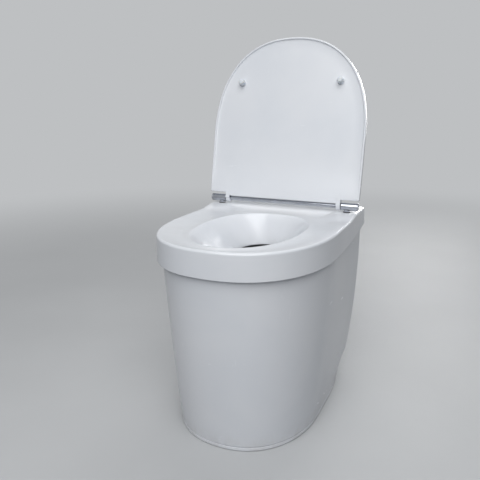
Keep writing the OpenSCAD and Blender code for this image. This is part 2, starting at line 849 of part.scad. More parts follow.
module hinge_nuts() {
    color(grey)
    both_sides() translate([post_x, hinge_y, deck_bottom_z - nut_h]) difference() {
        union() {
            cylinder(d = nut_d, h = nut_h);
            translate([-nut_wing / 2, -nut_wing_width / 2, -nut_wing_drop])
                cube([nut_wing, nut_wing_width, nut_h]);
        }
        translate([0, 0, -nut_wing_drop - cut])
            cylinder(d = stud_d + 2 * running_gap, h = nut_h + nut_wing_drop + 2 * cut);
    }
}

// ---------------------------------------------------------------- lid, drawn closed

// Turns the closed lid up to where it rests open
module opened() {
    translate([0, hinge_y, hinge_z]) rotate([-lid_open_angle, 0, 0])
        translate([0, -hinge_y, -hinge_z]) children();
}

function lid_outline(inset) =
    let (
        rear = hinge_y - lid_edge,
        front = lid_length - rear,
        half = lid_width / 2
    )
    d_outline(half - inset, half - lid_taper - inset, front - inset, rear - inset,
              max(1, lid_corner_r - inset), straight = lid_nose - front, power = lid_power);

module lid() {
    top = lid_bottom_z + lid_depth;
    color(white)
    opened() difference() {
        union() {
            difference() {
                solid_loft(concat(
                    [at_z(lid_outline(lid_chamfer), lid_bottom_z)],
                    [at_z(lid_outline(0), lid_bottom_z + lid_chamfer)],
                    [for (a = [0:22.5:90])
                        at_z(lid_outline(lid_edge_r * (1 - cos(a))), top - lid_edge_r * (1 - sin(a)))]
                ));
                solid_loft(concat(
                    [at_z(lid_outline(lid_rim), lid_bottom_z - cut)],
                    [for (a = [0:22.5:90])
                        at_z(lid_outline(lid_rim + lid_dish * (1 - cos(a))),
                             lid_bottom_z + lid_recess * sin(a))]
                ));
            }
            rear_bar(-lug_x - lid_strip_lap, 2 * (lug_x + lid_strip_lap), lid_edge - lid_strip_edge);
            both_sides() lug();
        }
        both_sides() on_axis(lug_x - cut) cylinder(d = rod_d + 2 * running_gap, h = lug_width + 2 * cut);
    }
}

// Bar that stands out behind the lid's notched rear edge
module rear_bar(x, width, reach) {
    translate([x, hinge_y - lid_edge - lid_root, lid_bottom_z + lid_chamfer])
        cube([width, lid_root + reach, lid_depth - 3 * lid_chamfer]);
}

module lug() {
    on_axis(lug_x) cylinder(d = lug_d, h = lug_width);
    rear_bar(lug_x, lug_width, lid_edge);
}

module lid_buffers() {
    color(grey)
    opened() both_sides() translate([buffer_x, hinge_y - buffer_reach, buffer_bottom_z])
        cylinder(d = buffer_d, h = lid_bottom_z + lid_recess - buffer_bottom_z);
}

module hinge_rod() {
    color(chrome) {
        on_axis(-lug_end_x) cylinder(d = rod_d, h = 2 * lug_end_x);
        both_sides() on_axis(lug_end_x)
            cylinder(d = pin_d, h = bush_start_x + bush_length - pin_end_gap - lug_end_x);
    }
}

// ---------------------------------------------------------------- bucket and canister

module bucket() {
    top = bucket_height;
    foot_r = bucket_foot_d / 2;
    top_r = bucket_top_d / 2;
    color(blue_grey)
    translate([0, bucket_y, base_plate]) {
        rotate_extrude() polygon([
            [0, 0], [foot_r, 0], [top_r, top - rim_depth], [top_r + rim_reach, top - rim_depth],
            [top_r + rim_reach, top], [top_r - bucket_wall, top],
            [foot_r - bucket_wall, bucket_floor], [0, bucket_floor]
        ]);
        both_sides() intersection() {
            rotate_extrude() translate([top_r + rim_reach, top - rim_depth]) difference() {
                translate([-cut, 0]) square([grip_reach + cut, rim_depth]);
                translate([grip_root, -cut])
                    square([grip_reach - grip_root - grip_lip, rim_depth - bucket_wall + cut]);
            }
            translate([top_r, -grip_width / 2, 0]) cube([top_r, grip_width, top + cut]);
        }
    }
}

function canister_outline(inset) =
    let (
        half = canister_width / 2 - inset,
        front = foot_front - casing_wall - canister_gap - inset,
        rear = canister_rear + inset,
        r = canister_corner_r,
        depth = front - rear - r
    )
    concat(
        [for (a = [0:7.5:180])
            [-half * signed_pow(cos(a), 2 / canister_power),
             -rear - r - depth * signed_pow(sin(a), 2 / canister_power)]],
        [for (a = [22.5:22.5:90]) [half - r + r * cos(a), -rear - r + r * sin(a)]],
        [for (a = [90:22.5:157.5]) [r - half + r * cos(a), -rear - r + r * sin(a)]]
    );

module canister_solid(inset, low, high) {
    solid_loft(concat(
        [for (a = [90:-30:0])
            at_z(canister_outline(inset + canister_foot_r * (1 - cos(a))),
                 low + canister_foot_r * (1 - sin(a)))],
        [for (a = [0:30:90])
            at_z(canister_outline(inset + canister_shoulder * (1 - cos(a))),
                 high - canister_shoulder_drop * (1 - sin(a)))]
    ));
}

module canister() {
    top = base_plate + canister_height;
    color("ivory")
    difference() {
        union() {
            canister_solid(0, base_plate, top);
            translate([0, -drain_front, top - cut]) cylinder(d = neck_d, h = neck_height + cut);
        }
        canister_solid(canister_wall, base_plate + canister_wall, top - canister_wall);
        translate([0, -drain_front, top - canister_wall - cut])
            cylinder(d = neck_d - 2 * canister_wall, h = neck_height + canister_wall + 2 * cut);
    }
}

// Splash collar that is screwed on the canister's neck and catches the spout
module canister_collar() {
    neck_r = neck_d / 2;
    seat = neck_height - collar_lift + running_gap;
    color(grey)
    translate([0, -drain_front, base_plate + canister_height + collar_lift]) rotate_extrude() polygon([
        [neck_r + running_gap, 0], [neck_r + collar_grip, 0], [neck_r + collar_grip, neck_height],
        [collar_d / 2, collar_height], [collar_d / 2 - collar_wall, collar_height],
        [neck_r - canister_wall, seat + collar_seat], [neck_r - canister_wall, seat],
        [neck_r + running_gap, seat]
    ]);
}

// ---------------------------------------------------------------- ventilation

module fan_corners(y) {
    for (x = [-1, 1], z = [-1, 1])
        on_y_axis(y, fan_z + z * fan_screw_pitch / 2, x * fan_screw_pitch / 2) children();
}

module square_plate(y, size, depth, bore) {
    difference() {
        translate([-size / 2, y, fan_z - size / 2]) cube([size, depth, size]);
        on_y_axis(y - cut, fan_z) cylinder(d = bore, h = depth + 2 * cut);
        fan_corners(y - cut) cylinder(d = fan_screw_hole_d, h = depth + 2 * cut);
    }
}

module vent_gasket() {
    color(dark) square_plate(rear_wall_y - gasket_depth, flange_size, gasket_depth, register_d + 2 * fit_gap);
}

module vent_duct() {
    bore = spigot_d - 2 * spigot_wall;
    length = casing_rear + spigot_length - fan_back_y;
    color(white)
    union() {
        square_plate(fan_back_y, flange_size, flange_depth, bore);
        difference() {
            union() {
                on_y_axis(fan_back_y, fan_z) cylinder(d = spigot_d, h = length);
                on_y_axis(fan_back_y, fan_z) cylinder(d = register_d, h = casing_rear - fan_back_y);
            }
            on_y_axis(fan_back_y - cut, fan_z) cylinder(d = bore, h = length + 2 * cut);
        }
    }
}

module fan_frame() {
    color(dark)
    union() {
        square_plate(fan_front_y, fan_size, fan_depth, fan_bore_d);
        on_y_axis(fan_back_y - motor_depth, fan_z) cylinder(d = motor_d, h = motor_depth - motor_inset);
        on_y_axis(fan_front_y + shaft_start, fan_z)
            cylinder(d = shaft_d, h = fan_depth - shaft_start - motor_depth + cut);
        for (a = [45, 135])
            translate([0, fan_back_y - spider_depth - spider_inset, fan_z]) rotate([0, a, 0])
                translate([-fan_bore_d / 2 - cut, 0, -spider_width / 2])
                cube([fan_bore_d + 2 * cut, spider_depth, spider_width]);
    }
}

module fan_impeller() {
    front_y = fan_front_y + hub_start;
    color(dark)
    difference() {
        union() {
            on_y_axis(front_y, fan_z) cylinder(d = hub_d, h = hub_length);
            intersection() {
                for (k = [0:fan_blades - 1])
                    translate([0, front_y + hub_length / 2, fan_z]) rotate([0, 360 * k / fan_blades, 0])
                        rotate([blade_pitch, 0, 0])
                        translate([hub_d / 2 - blade_lap, -hub_length / 2, -blade_width / 2])
                        cube([impeller_d / 2, hub_length, blade_width]);
                on_y_axis(front_y + cut, fan_z) cylinder(d = impeller_d, h = hub_length - 2 * cut);
            }
        }
        on_y_axis(fan_front_y + shaft_start - fit_gap, fan_z)
            cylinder(d = shaft_d + 2 * running_gap, h = hub_length);
    }
}

module fan_screws() {
    color(chrome) {
        fan_corners(fan_front_y - grille_depth - fan_head_h)
            pan_screw(fan_head_h + grille_depth + fan_screw_length, fan_head_d, fan_head_h);
    }
}

module fan_grille() {
    y = fan_front_y - grille_depth;
    color(chrome)
    difference() {
        union() {
            for (r = [grille_step:grille_step:fan_bore_d / 2 - 1])
                on_y_axis(y, fan_z) difference() {
                    cylinder(r = r, h = grille_depth);
                    translate([0, 0, -cut]) cylinder(r = r - grille_wire, h = grille_depth + 2 * cut);
                }
            for (a = [45, 135])
                translate([0, y, fan_z]) rotate([0, a, 0])
                    translate([-fan_screw_pitch / sqrt(2), 0, -grille_wire / 2])
                    cube([fan_screw_pitch * sqrt(2), grille_depth, grille_wire]);
            fan_corners(y) cylinder(d = grille_eye_d, h = grille_depth);
        }
        fan_corners(y - cut) cylinder(d = fan_screw_hole_d, h = grille_depth + 2 * cut);
    }
}

// ---------------------------------------------------------------- power inlet and lead

module inlet_socket() {
    mouth_y = casing_rear + inlet_flange_h - inlet_mouth_depth;
    color(dark)
    difference() {
        union() {
            on_y_axis(casing_rear, inlet_z, inlet_x) cylinder(d = inlet_flange_d, h = inlet_flange_h);
            on_y_axis(casing_rear - inlet_length, inlet_z, inlet_x)
                cylinder(d = inlet_body_d, h = inlet_length);
        }
        on_y_axis(mouth_y - inlet_bore_depth, inlet_z, inlet_x)
            cylinder(d = inlet_bore_d, h = inlet_bore_depth + cut);
        on_y_axis(mouth_y, inlet_z, inlet_x) cylinder(d = inlet_mouth_d, h = inlet_mouth_depth + cut);
    }
}

module inlet_nut() {
    color(chrome)
    on_y_axis(rear_wall_y - inlet_nut_h, inlet_z, inlet_x) difference() {
        cylinder(d = inlet_nut_d, h = inlet_nut_h, $fn = 6);
        translate([0, 0, -cut]) cylinder(d = inlet_body_d + 2 * running_gap, h = inlet_nut_h + 2 * cut);
    }
}

function unit(v) = v / norm(v);

// Round tube swept along a route, square to the route at each of its points
function tube_rings(route, d, sides) =
    [for (k = [0:len(route) - 1])
        let (
            t = unit(route[min(k + 1, len(route) - 1)] - route[max(k - 1, 0)]),
            across = unit(cross(t, abs(t[0]) > 0.9 ? [0, 1, 0] : [1, 0, 0])),
            up = cross(t, across)
        )
        [for (i = [0:sides - 1])
            let (a = 360 * (i + 0.5) / sides)
            route[k] + d / 2 * (across * cos(a) + up * sin(a))]];

module fan_cable() {
    color(dark) solid_loft(tube_rings(lead_route, lead_d, 8));
}

module cable_clips() {
    color(white)
    for (t = clip_places)
        translate([inlet_x, lead_y, mix(inlet_z, lead_end_z, t) - clip_height / 2]) difference() {
            translate([-clip_width / 2, -lead_d / 2 - clip_wall, 0])
                cube([clip_width, lead_d + 2 * clip_wall, clip_height]);
            translate([0, 0, -cut]) cylinder(d = lead_d + 2 * fit_gap, h = clip_height + 2 * cut);
        }
}

// ---------------------------------------------------------------- nodes

base();
base_screws();
casing();
casing_seal();
seat_top();
drop_chute();
drain_spout();
drain_nut();
hinge_post_left();
hinge_post_right();
hinge_barrel_left();
hinge_barrel_right();
hinge_bush_left();
hinge_bush_right();
barrel_cap_left();
barrel_cap_right();
hinge_washers();
hinge_nuts();
lid();
lid_buffers();
hinge_rod();
bucket();
canister();
canister_collar();
vent_duct();
vent_gasket();
fan_frame();
fan_impeller();
fan_screws();
fan_grille();
inlet_socket();
inlet_nut();
fan_cable();
cable_clips();
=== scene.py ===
"""Waterless urine-separating toilet: its visible surfaces and finishes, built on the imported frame.

Lengths are millimetres while a piece is shaped, and metres from the moment it becomes an object.
"""

import logging
import math
from dataclasses import dataclass
from enum import Enum
from typing import Optional, Sequence, Union

import bmesh
import bpy
import numpy as np
from mathutils import Matrix, Vector


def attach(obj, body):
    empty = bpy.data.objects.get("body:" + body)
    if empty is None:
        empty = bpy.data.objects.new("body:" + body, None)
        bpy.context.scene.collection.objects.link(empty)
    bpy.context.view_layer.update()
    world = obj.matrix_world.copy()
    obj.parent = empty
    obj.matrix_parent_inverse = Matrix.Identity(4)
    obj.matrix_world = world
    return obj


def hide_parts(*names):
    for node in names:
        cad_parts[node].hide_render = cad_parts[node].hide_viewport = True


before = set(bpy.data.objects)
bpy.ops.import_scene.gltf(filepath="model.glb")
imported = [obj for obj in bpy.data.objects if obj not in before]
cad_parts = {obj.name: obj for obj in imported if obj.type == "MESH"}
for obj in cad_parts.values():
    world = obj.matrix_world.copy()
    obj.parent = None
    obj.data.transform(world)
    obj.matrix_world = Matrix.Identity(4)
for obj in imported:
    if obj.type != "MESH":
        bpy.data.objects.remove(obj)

LOG = logging.getLogger("toilet")
METRES = 0.001  # metres in a millimetre
WELD = 2e-7  # metres: points of a new mesh that lie nearer to each other become one
SLIVER = 1e-5  # metres: the same for a mesh that has been cut or joined
TINY = 1e-9  # keeps a division away from zero
CREASE = 38.0  # degrees: edges that turn more than this stay sharp
LONGEST_ROUNDING = 0.48  # most of a span that the rounding of one corner takes

Points = np.ndarray
Socket = bpy.types.NodeSocket
Value = Union[Socket, float, tuple]
Feeds = dict[Union[str, int], Value]


# ---------------------------------------------------------------- choices


class Body(Enum):
    """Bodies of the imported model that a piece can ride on."""

    STAND = "stand"
    SEAT = "seat_unit"
    LID = "lid"
    IMPELLER = "impeller"
    BUCKET = "bucket"
    CANISTER = "canister"


class Slot(Enum):
    """Material slots of the record."""

    SHELL = "shell_white"
    CHROME = "hinge_chrome"
    STEEL = "screw_steel"
    RUBBER = "seal_rubber"
    SILICONE = "buffer_silicone"
    DARK = "dark_plastic"
    GREY = "grey_plastic"
    BUCKET = "bucket_plastic"
    CANISTER = "canister_plastic"
    CLIP = "clip_plastic"
    LEAD = "lead_jacket"


class Axis(Enum):
    """Directions that round and flat forms stand along: two across, and the one along."""

    X = ((0, 1, 0), (0, 0, 1), (1, 0, 0))
    Y = ((0, 0, 1), (1, 0, 0), (0, 1, 0))
    Z = ((1, 0, 0), (0, 1, 0), (0, 0, 1))

    def place(self, across: Points, up: Points, along: float, centre: Sequence[float]) -> Points:
        """Puts points given in the axis's own directions into the frame.

        Args:
            across: Distances in the first direction.
            up: Distances in the second direction.
            along: Distance along the axis.
            centre: Point of the frame that the distances start from.

        Returns:
            An array of points, three numbers each.
        """
        a, u, w = (np.array(v, float) for v in self.value)
        return np.asarray(centre, float) + np.outer(across, a) + np.outer(up, u) + along * w


@dataclass(frozen=True)
class Layout:
    """Places and sizes that several sub-assemblies share."""

    plate: float = 6.0
    bucket_y: float = 44.0
    drain_y: float = -125.0
    rear: float = 218.0
    fan_z: float = 352.0
    inlet: tuple[float, float] = (96.0, 62.0)
    hinge_x: float = 163.5
    hinge_y: float = 139.0
    hinge_z: float = 459.6


LAYOUT = Layout()


# ---------------------------------------------------------------- curves and outlines


def blend(a: Points, b: Points, t: Points) -> Points:
    """Value a share t of the way from a to b."""
    return a + (b - a) * t


def eased(t: Points) -> Points:
    """Smooth step from 0 to 1."""
    u = np.clip(t, 0.0, 1.0)
    return u * u * (3 - 2 * u)


def signed_power(v: Points, p: float) -> Points:
    """Power of the size of v with the sign of v."""
    return np.sign(v) * np.abs(v) ** p


def at_height(plan: Points, z: Points) -> Points:
    """Plan points lifted to a height, or to one height each."""
    return np.column_stack([plan, np.broadcast_to(z, len(plan))])


def circle(sides: int) -> tuple[Points, Points]:
    """Cosines and sines of angles spread evenly over a full turn."""
    a = np.linspace(0, 2 * math.pi, sides, endpoint=False)
    return np.cos(a), np.sin(a)


def quarter(spans: int, back: bool = False) -> list[tuple[float, float]]:
    """Points of a rounded edge with a radius of 1, from the side's end to the top.

    Args:
        spans: Number of spans.
        back: Whether the points run from the top to the side instead.

    Returns:
        How far each point is moved in from the side and down from the top.
    """
    turns = np.radians(np.linspace(90, 0, spans + 1) if back else np.linspace(0, 90, spans + 1))
    return [(1 - math.cos(a), 1 - math.sin(a)) for a in turns]


def soften(path: Sequence[tuple[Points, float]], steps: int = 4, closed: bool = False) -> list[Points]:
    """Rounds the corners along a path of rings, or of a profile's points.

    Args:
        path: Rings or points, each with the reach of its rounding. A reach of 0 keeps it as it is.
        steps: Number of spans in each rounding.
        closed: Whether the path runs back to its start.

    Returns:
        The path's rings or points, with a short curve in the place of each rounded corner.
    """
    rings = [np.asarray(p, float) for p, _ in path]
    made: list[Points] = []
    for k, (_, reach) in enumerate(path):
        here = rings[k]
        if reach <= 0 or (not closed and k in (0, len(rings) - 1)):
            made.append(here)
            continue
        ends = []
        for other in (rings[k - 1], rings[(k + 1) % len(rings)]):
            way = other - here
            length = np.linalg.norm(way, axis=-1, keepdims=True)
            ends.append(here + way * np.minimum(reach / np.maximum(length, TINY), LONGEST_ROUNDING))
        for t in np.linspace(0, 1, steps + 1):
            made.append((1 - t) ** 2 * ends[0] + 2 * t * (1 - t) * here + t * t * ends[1])
    return made


def rounded_rectangle(half_u: float, half_v: float, corner: float, steps: int = 6) -> tuple[Points, Points]:
    """Outline of a rectangle with round corners.

    Args:
        half_u: Half its size in the first direction.
        half_v: Half its size in the second direction.
        corner: Radius of its corners.
        steps: Number of spans in each corner.

    Returns:
        Two rows of distances, one in each direction.
    """
    corner = max(min(corner, half_u, half_v), 0.01)
    turns = np.radians(np.linspace(0, 90, steps + 1))
    u, v = [], []
    for quarter, (su, sv) in enumerate(((1, 1), (-1, 1), (-1, -1), (1, -1))):
        a = turns + quarter * math.pi / 2
        u.append(su * (half_u - corner) + corner * np.cos(a))
        v.append(sv * (half_v - corner) + corner * np.sin(a))
    return np.concatenate(u), np.concatenate(v)


def rectangle_by_angle(half_u: float, half_v: float, corner: float, sides: int) -> tuple[Points, Points]:
    """Points where evenly spread rays from the middle meet a rectangle with round corners.

    Args:
        half_u: Half its size in the first direction.
        half_v: Half its size in the second direction.
        corner: Radius of its corners.
        sides: Number of rays.

    Returns:
        Two rows of distances, one in each direction.
    """
    cosines, sines = circle(sides)
    c, s = np.abs(cosines), np.abs(sines)
    reach = np.minimum(half_u / np.maximum(c, TINY), half_v / np.maximum(s, TINY))
    cu, cv = half_u - corner, half_v - corner
    in_corner = (reach * c > cu) & (reach * s > cv)
    along = c * cu + s * cv
    round_reach = along + np.sqrt(np.maximum(along**2 - cu**2 - cv**2 + corner**2, 0))
    reach = np.where(in_corner, round_reach, reach)
    return reach * cosines, reach * sines


def eased_route(route: Points, steps: int = 5) -> Points:
    """Draws a smooth curve through the points of a route.

    Args:
        route: The route's points.
        steps: Number of spans from each point to the next.

    Returns:
        The curve's points.
    """
    padded = np.vstack([2 * route[0] - route[1], route, 2 * route[-1] - route[-2]])
    made = []
    for a, b, c, d in zip(padded, padded[1:], padded[2:], padded[3:]):
        for t in np.arange(steps) / steps:
            made.append(0.5 * (2 * b + (c - a) * t + (2 * a - 5 * b + 4 * c - d) * t**2
                               + (3 * b - a - 3 * c + d) * t**3))
    return np.array(made + [route[-1]])


@dataclass(frozen=True)
class Outline:
    """D-shaped plan: a rounded front, sides that draw in, small rear corners and a flat rear."""

    half: float
    rear_half: float
    front: float
    rear: float
    corner: float
    straight: float = -25.0
    power: float = 2.3
    taper: float = 60.0
    front_steps: int = 120
    side_steps: int = 18
    corner_steps: int = 8
    rear_steps: int = 20

    def points(self) -> Points:
        """Draws the outline.

        Returns:
            Plan points, counter-clockwise from the left end of the rounded front.
        """
        a = np.radians(np.linspace(0, 180, self.front_steps + 1))
        nose = self.front + self.straight
        front = np.column_stack([-self.half * signed_power(np.cos(a), 2 / self.power),
                                 self.straight - nose * np.abs(np.sin(a)) ** (2 / self.power)])
        side_end = self.rear - self.corner
        y = np.linspace(self.straight, side_end, self.side_steps + 1)[1:]
        drawn = (np.maximum(0, y - self.taper) / (side_end - self.taper)) ** 2
        side = np.column_stack([blend(self.half, self.rear_half, drawn), y])
        b = np.radians(90 * np.arange(1, self.corner_steps + 1) / self.corner_steps)
        turn = np.column_stack([self.rear_half - self.corner + self.corner * np.cos(b),
                                self.rear - self.corner + self.corner * np.sin(b)])
        x = np.linspace(self.rear_half - self.corner, self.corner - self.rear_half, self.rear_steps + 1)[1:-1]
        back = np.column_stack([x, np.full(len(x), self.rear)])
        mirror = np.array([-1.0, 1.0])
        return np.vstack([front, side, turn, back, turn[::-1] * mirror, side[::-1] * mirror])


# ---------------------------------------------------------------- shapes


class Shape:
    """Gathers the rings and faces of one piece and turns them into an object."""

    def __init__(self) -> None:
        """Starts with no points and no faces."""
        self.points: list[Points] = []
        self.faces: list[tuple[int, ...]] = []
        self.count = 0

    def loft(self, rings: Sequence[Points], closed: bool = False, ends: bool = False) -> "Shape":
        """Joins neighbouring rings with four-sided faces.

        Args:
            rings: Rings with the same number of points, each a closed loop.
            closed: Whether the last ring joins the first.
            ends: Whether the first and the last ring are closed with one face each.

        Returns:
            This shape.
        """
        n, rows, base = len(rings[0]), len(rings), self.count
        self.points.append(np.concatenate(rings))
        self.count += n * rows
        i = np.arange(n)
        j = (i + 1) % n
        for row in range(rows if closed else rows - 1):
            a, b = base + row * n, base + (row + 1) % rows * n
            self.faces.extend(map(tuple, np.column_stack([a + i, a + j, b + j, b + i]).tolist()))
        if ends:
            self.faces.append(tuple(range(base + n - 1, base - 1, -1)))
            self.faces.append(tuple(range(base + n * (rows - 1), base + n * rows)))
        return self

    def swept(self, path: Sequence[tuple[Points, float]], steps: int = 4, closed: bool = True) -> "Shape":
        """Rounds a path of rings and joins them.

        Args:
            path: Rings, each with the reach of its rounding.
            steps: Number of spans in each rounding.
            closed: Whether the last ring joins the first. Otherwise a face closes each end.

        Returns:
            This shape.
        """
        return self.loft(soften(path, steps, closed), closed, not closed)

    def turned(self, profile: Sequence[Points], axis: Axis, centre: Sequence[float], sides: int = 64,
               closed: bool = False) -> "Shape":
        """Turns a profile of (radius, distance along) points about an axis.

        Args:
            profile: The profile's points.
            axis: Direction of the axis.
            centre: Point that the axis runs through and distances start from.
            sides: Number of spans round the axis.
            closed: Whether the profile is a loop, as that of a ring or tube is.

        Returns:
            This shape.
        """
        c, s = circle(sides)
        return self.loft([axis.place(r * c, r * s, h, centre) for r, h in profile], closed=closed)

    def lathe(self, corners: Sequence[tuple[float, float, float]], axis: Axis, centre: Sequence[float],
              sides: int = 64, steps: int = 4, closed: bool = False) -> "Shape":
        """Turns a profile with rounded corners about an axis.

        Args:
            corners: Radius, distance along and reach of the rounding of each corner.
            axis: Direction of the axis.
            centre: Point that the axis runs through and distances start from.
            sides: Number of spans round the axis.
            steps: Number of spans in each rounding.
            closed: Whether the profile is a loop.

        Returns:
            This shape.
        """
        return self.turned(soften([((r, h), reach) for r, h, reach in corners], steps, closed), axis, centre, sides,
                           closed)

    def cylinder(self, radius: float, low: float, high: float, axis: Axis, centre: Sequence[float],
                 sides: int) -> "Shape":
        """Adds a plain cylinder, standing along an axis from low to high."""
        return self.turned([(0, low), (radius, low), (radius, high), (0, high)], axis, centre, sides)

    def block(self, half_u: float, half_v: float, low: float, high: float, axis: Axis,
              centre: Sequence[float], corner: float = 1.0, reach: float = 0.5) -> "Shape":
        """Adds a bar or plate with rounded edges.

        Args:
            half_u: Half its size in the axis's first direction.
            half_v: Half its size in the axis's second direction.
            low: Where it starts along the axis.
            high: Where it ends along the axis.
            axis: Direction that it stands along.
            centre: Point that distances start from.
            corner: Radius of its corners.
            reach: Reach of the rounding of its edges.

        Returns:
            This shape.
        """
        def ring(inset: float, h: float) -> Points:
            """Outline, moved in by an inset, at a distance along the axis."""
            return axis.place(*rounded_rectangle(half_u - inset, half_v - inset, corner - inset), h, centre)
        return self.swept([(ring(reach, low), 0), (ring(0, low), reach), (ring(0, high), reach),
                           (ring(reach, high), 0)], 3, closed=False)

    def holed_plate(self, half_u: float, half_v: float, corner: float, bore: float, low: float, high: float,
                    axis: Axis, centre: Sequence[float], sides: int = 96) -> "Shape":
        """Adds a plate with round corners and a round hole in its middle.

        Args:
            half_u: Half its size in the axis's first direction.
            half_v: Half its size in the axis's second direction.
            corner: Radius of its corners.
            bore: Radius of the hole.
            low: Where it starts along the axis.
            high: Where it ends along the axis.
            axis: Direction that it stands along.
            centre: Point that distances start from.
            sides: Number of spans round the hole.

        Returns:
            This shape.
        """
        c, s = circle(sides)
        outside, hole = rectangle_by_angle(half_u, half_v, corner, sides), (bore * c, bore * s)
        rings = ((outside, low), (outside, high), (hole, high), (hole, low))
        return self.swept([(axis.place(*ring, h, centre), 0.5) for ring, h in rings], 3)

    def tube(self, route: Points, radius: float, sides: int = 16) -> "Shape":
        """Sweeps a round section along a route and closes its ends.

        Args:
            route: Points that the tube runs through.
            radius: Radius of the section.
            sides: Number of spans round the section.

        Returns:
            This shape.
        """
        rings, up, (c, s) = [], np.array([1.0, 0.0, 0.0]), circle(sides)
        for k in range(len(route)):
            way = route[min(k + 1, len(route) - 1)] - route[max(k - 1, 0)]
            way = way / np.linalg.norm(way)
            up = up - way * (up @ way)
            up = up / max(np.linalg.norm(up), TINY)
            side = np.cross(way, up)
            rings.append(route[k] + radius * (np.outer(c, up) + np.outer(s, side)))
        return self.loft(rings, ends=True)

    def take(self, other: "Shape") -> "Shape":
        """Adds another shape's points and faces.

        Args:
            other: The other shape, which stays as it is.

        Returns:
            This shape.
        """
        self.points.extend(other.points)
        self.faces.extend(tuple(i + self.count for i in f) for f in other.faces)
        self.count += other.count
        return self

    def moved(self, matrix: Matrix) -> "Shape":
        """Turns and shifts everything in the shape.

        Args:
            matrix: The turn, and the shift in millimetres.

        Returns:
            This shape.
        """
        m = np.array(matrix, float)
        self.points = [p @ m[:3, :3].T + m[:3, 3] for p in self.points]
        return self

    def mirrored(self) -> "Shape":
        """Copies the shape to the other side of the plane of symmetry.

        Returns:
            The copy.
        """
        other = Shape()
        other.points = [p * np.array([-1.0, 1.0, 1.0]) for p in self.points]
        other.faces = [f[::-1] for f in self.faces]
        other.count = self.count
        return other

    def made(self, name: str, crease: float = CREASE) -> bpy.types.Object:
        """Turns the shape into an object.

        Args:
            name: Name of the object and its mesh.
            crease: Edges that turn more than this, in degrees, stay sharp.

        Returns:
            The object, in the scene.
        """
        mesh = bpy.data.meshes.new(name)
        mesh.from_pydata((np.concatenate(self.points) * METRES).tolist(), [], self.faces)
        work = bmesh.new()
        work.from_mesh(mesh)
        bmesh.ops.remove_doubles(work, verts=work.verts, dist=WELD)
        bmesh.ops.recalc_face_normals(work, faces=work.faces)
        work.to_mesh(mesh)
        work.free()
        thing = bpy.data.objects.new(name, mesh)
        bpy.context.scene.collection.objects.link(thing)
        return smoothed(thing, crease)


def smoothed(thing: bpy.types.Object, crease: float) -> bpy.types.Object:
    """Shades an object smooth and keeps its sharp edges.

    Args:
        thing: The object.
        crease: Edges that turn more than this, in degrees, stay sharp.

    Returns:
        The same object.
    """
    thing.data.shade_smooth()
    thing.data.set_sharp_from_angle(angle=math.radians(crease))
    return thing


def carved(thing: bpy.types.Object, tool: Shape, operation: str = "DIFFERENCE", crease: float = CREASE,
           crossing: bool = False) -> bpy.types.Object:
    """Cuts a shape out of an object, or joins it on.

    Args:
        thing: Object that is changed.
        tool: Closed shape.
        operation: DIFFERENCE or UNION.
        crease: Edges that turn more than this, in degrees, stay sharp.
        crossing: Whether parts of the tool run through each other.

    Returns:
        The changed object.
    """
    cutter = tool.made("cutting_tool")
    step = thing.modifiers.new("carve", "BOOLEAN")
    step.operation, step.solver, step.object, step.use_self = operation, "EXACT", cutter, crossing
    bpy.context.view_layer.update()
    worked = thing.evaluated_get(bpy.context.evaluated_depsgraph_get())
    mesh = bpy.data.meshes.new_from_object(worked)
    work = bmesh.new()
    work.from_mesh(mesh)
    bmesh.ops.remove_doubles(work, verts=work.verts, dist=SLIVER)
    bmesh.ops.dissolve_degenerate(work, edges=work.edges, dist=SLIVER)
    bmesh.ops.triangulate(work, faces=[f for f in work.faces if len(f.verts) > 4])
    work.verts.index_update()
    seen: dict[frozenset, bmesh.types.BMFace] = {}
    for face in work.faces:
        seen.setdefault(frozenset(v.index for v in face.verts), face)
    doubled = [f for f in work.faces if seen[frozenset(v.index for v in f.verts)] is not f]
    doubled += [seen[frozenset(v.index for v in f.verts)] for f in doubled]
    bmesh.ops.delete(work, geom=list(set(doubled)), context="FACES_ONLY")
    work.to_mesh(mesh)
    work.free()
    thing.modifiers.clear()
    old, thing.data = thing.data, mesh
    name = old.name
    bpy.data.meshes.remove(old)
    mesh.name = name
    bpy.data.objects.remove(cutter)
    return smoothed(thing, crease)


# ---------------------------------------------------------------- node work


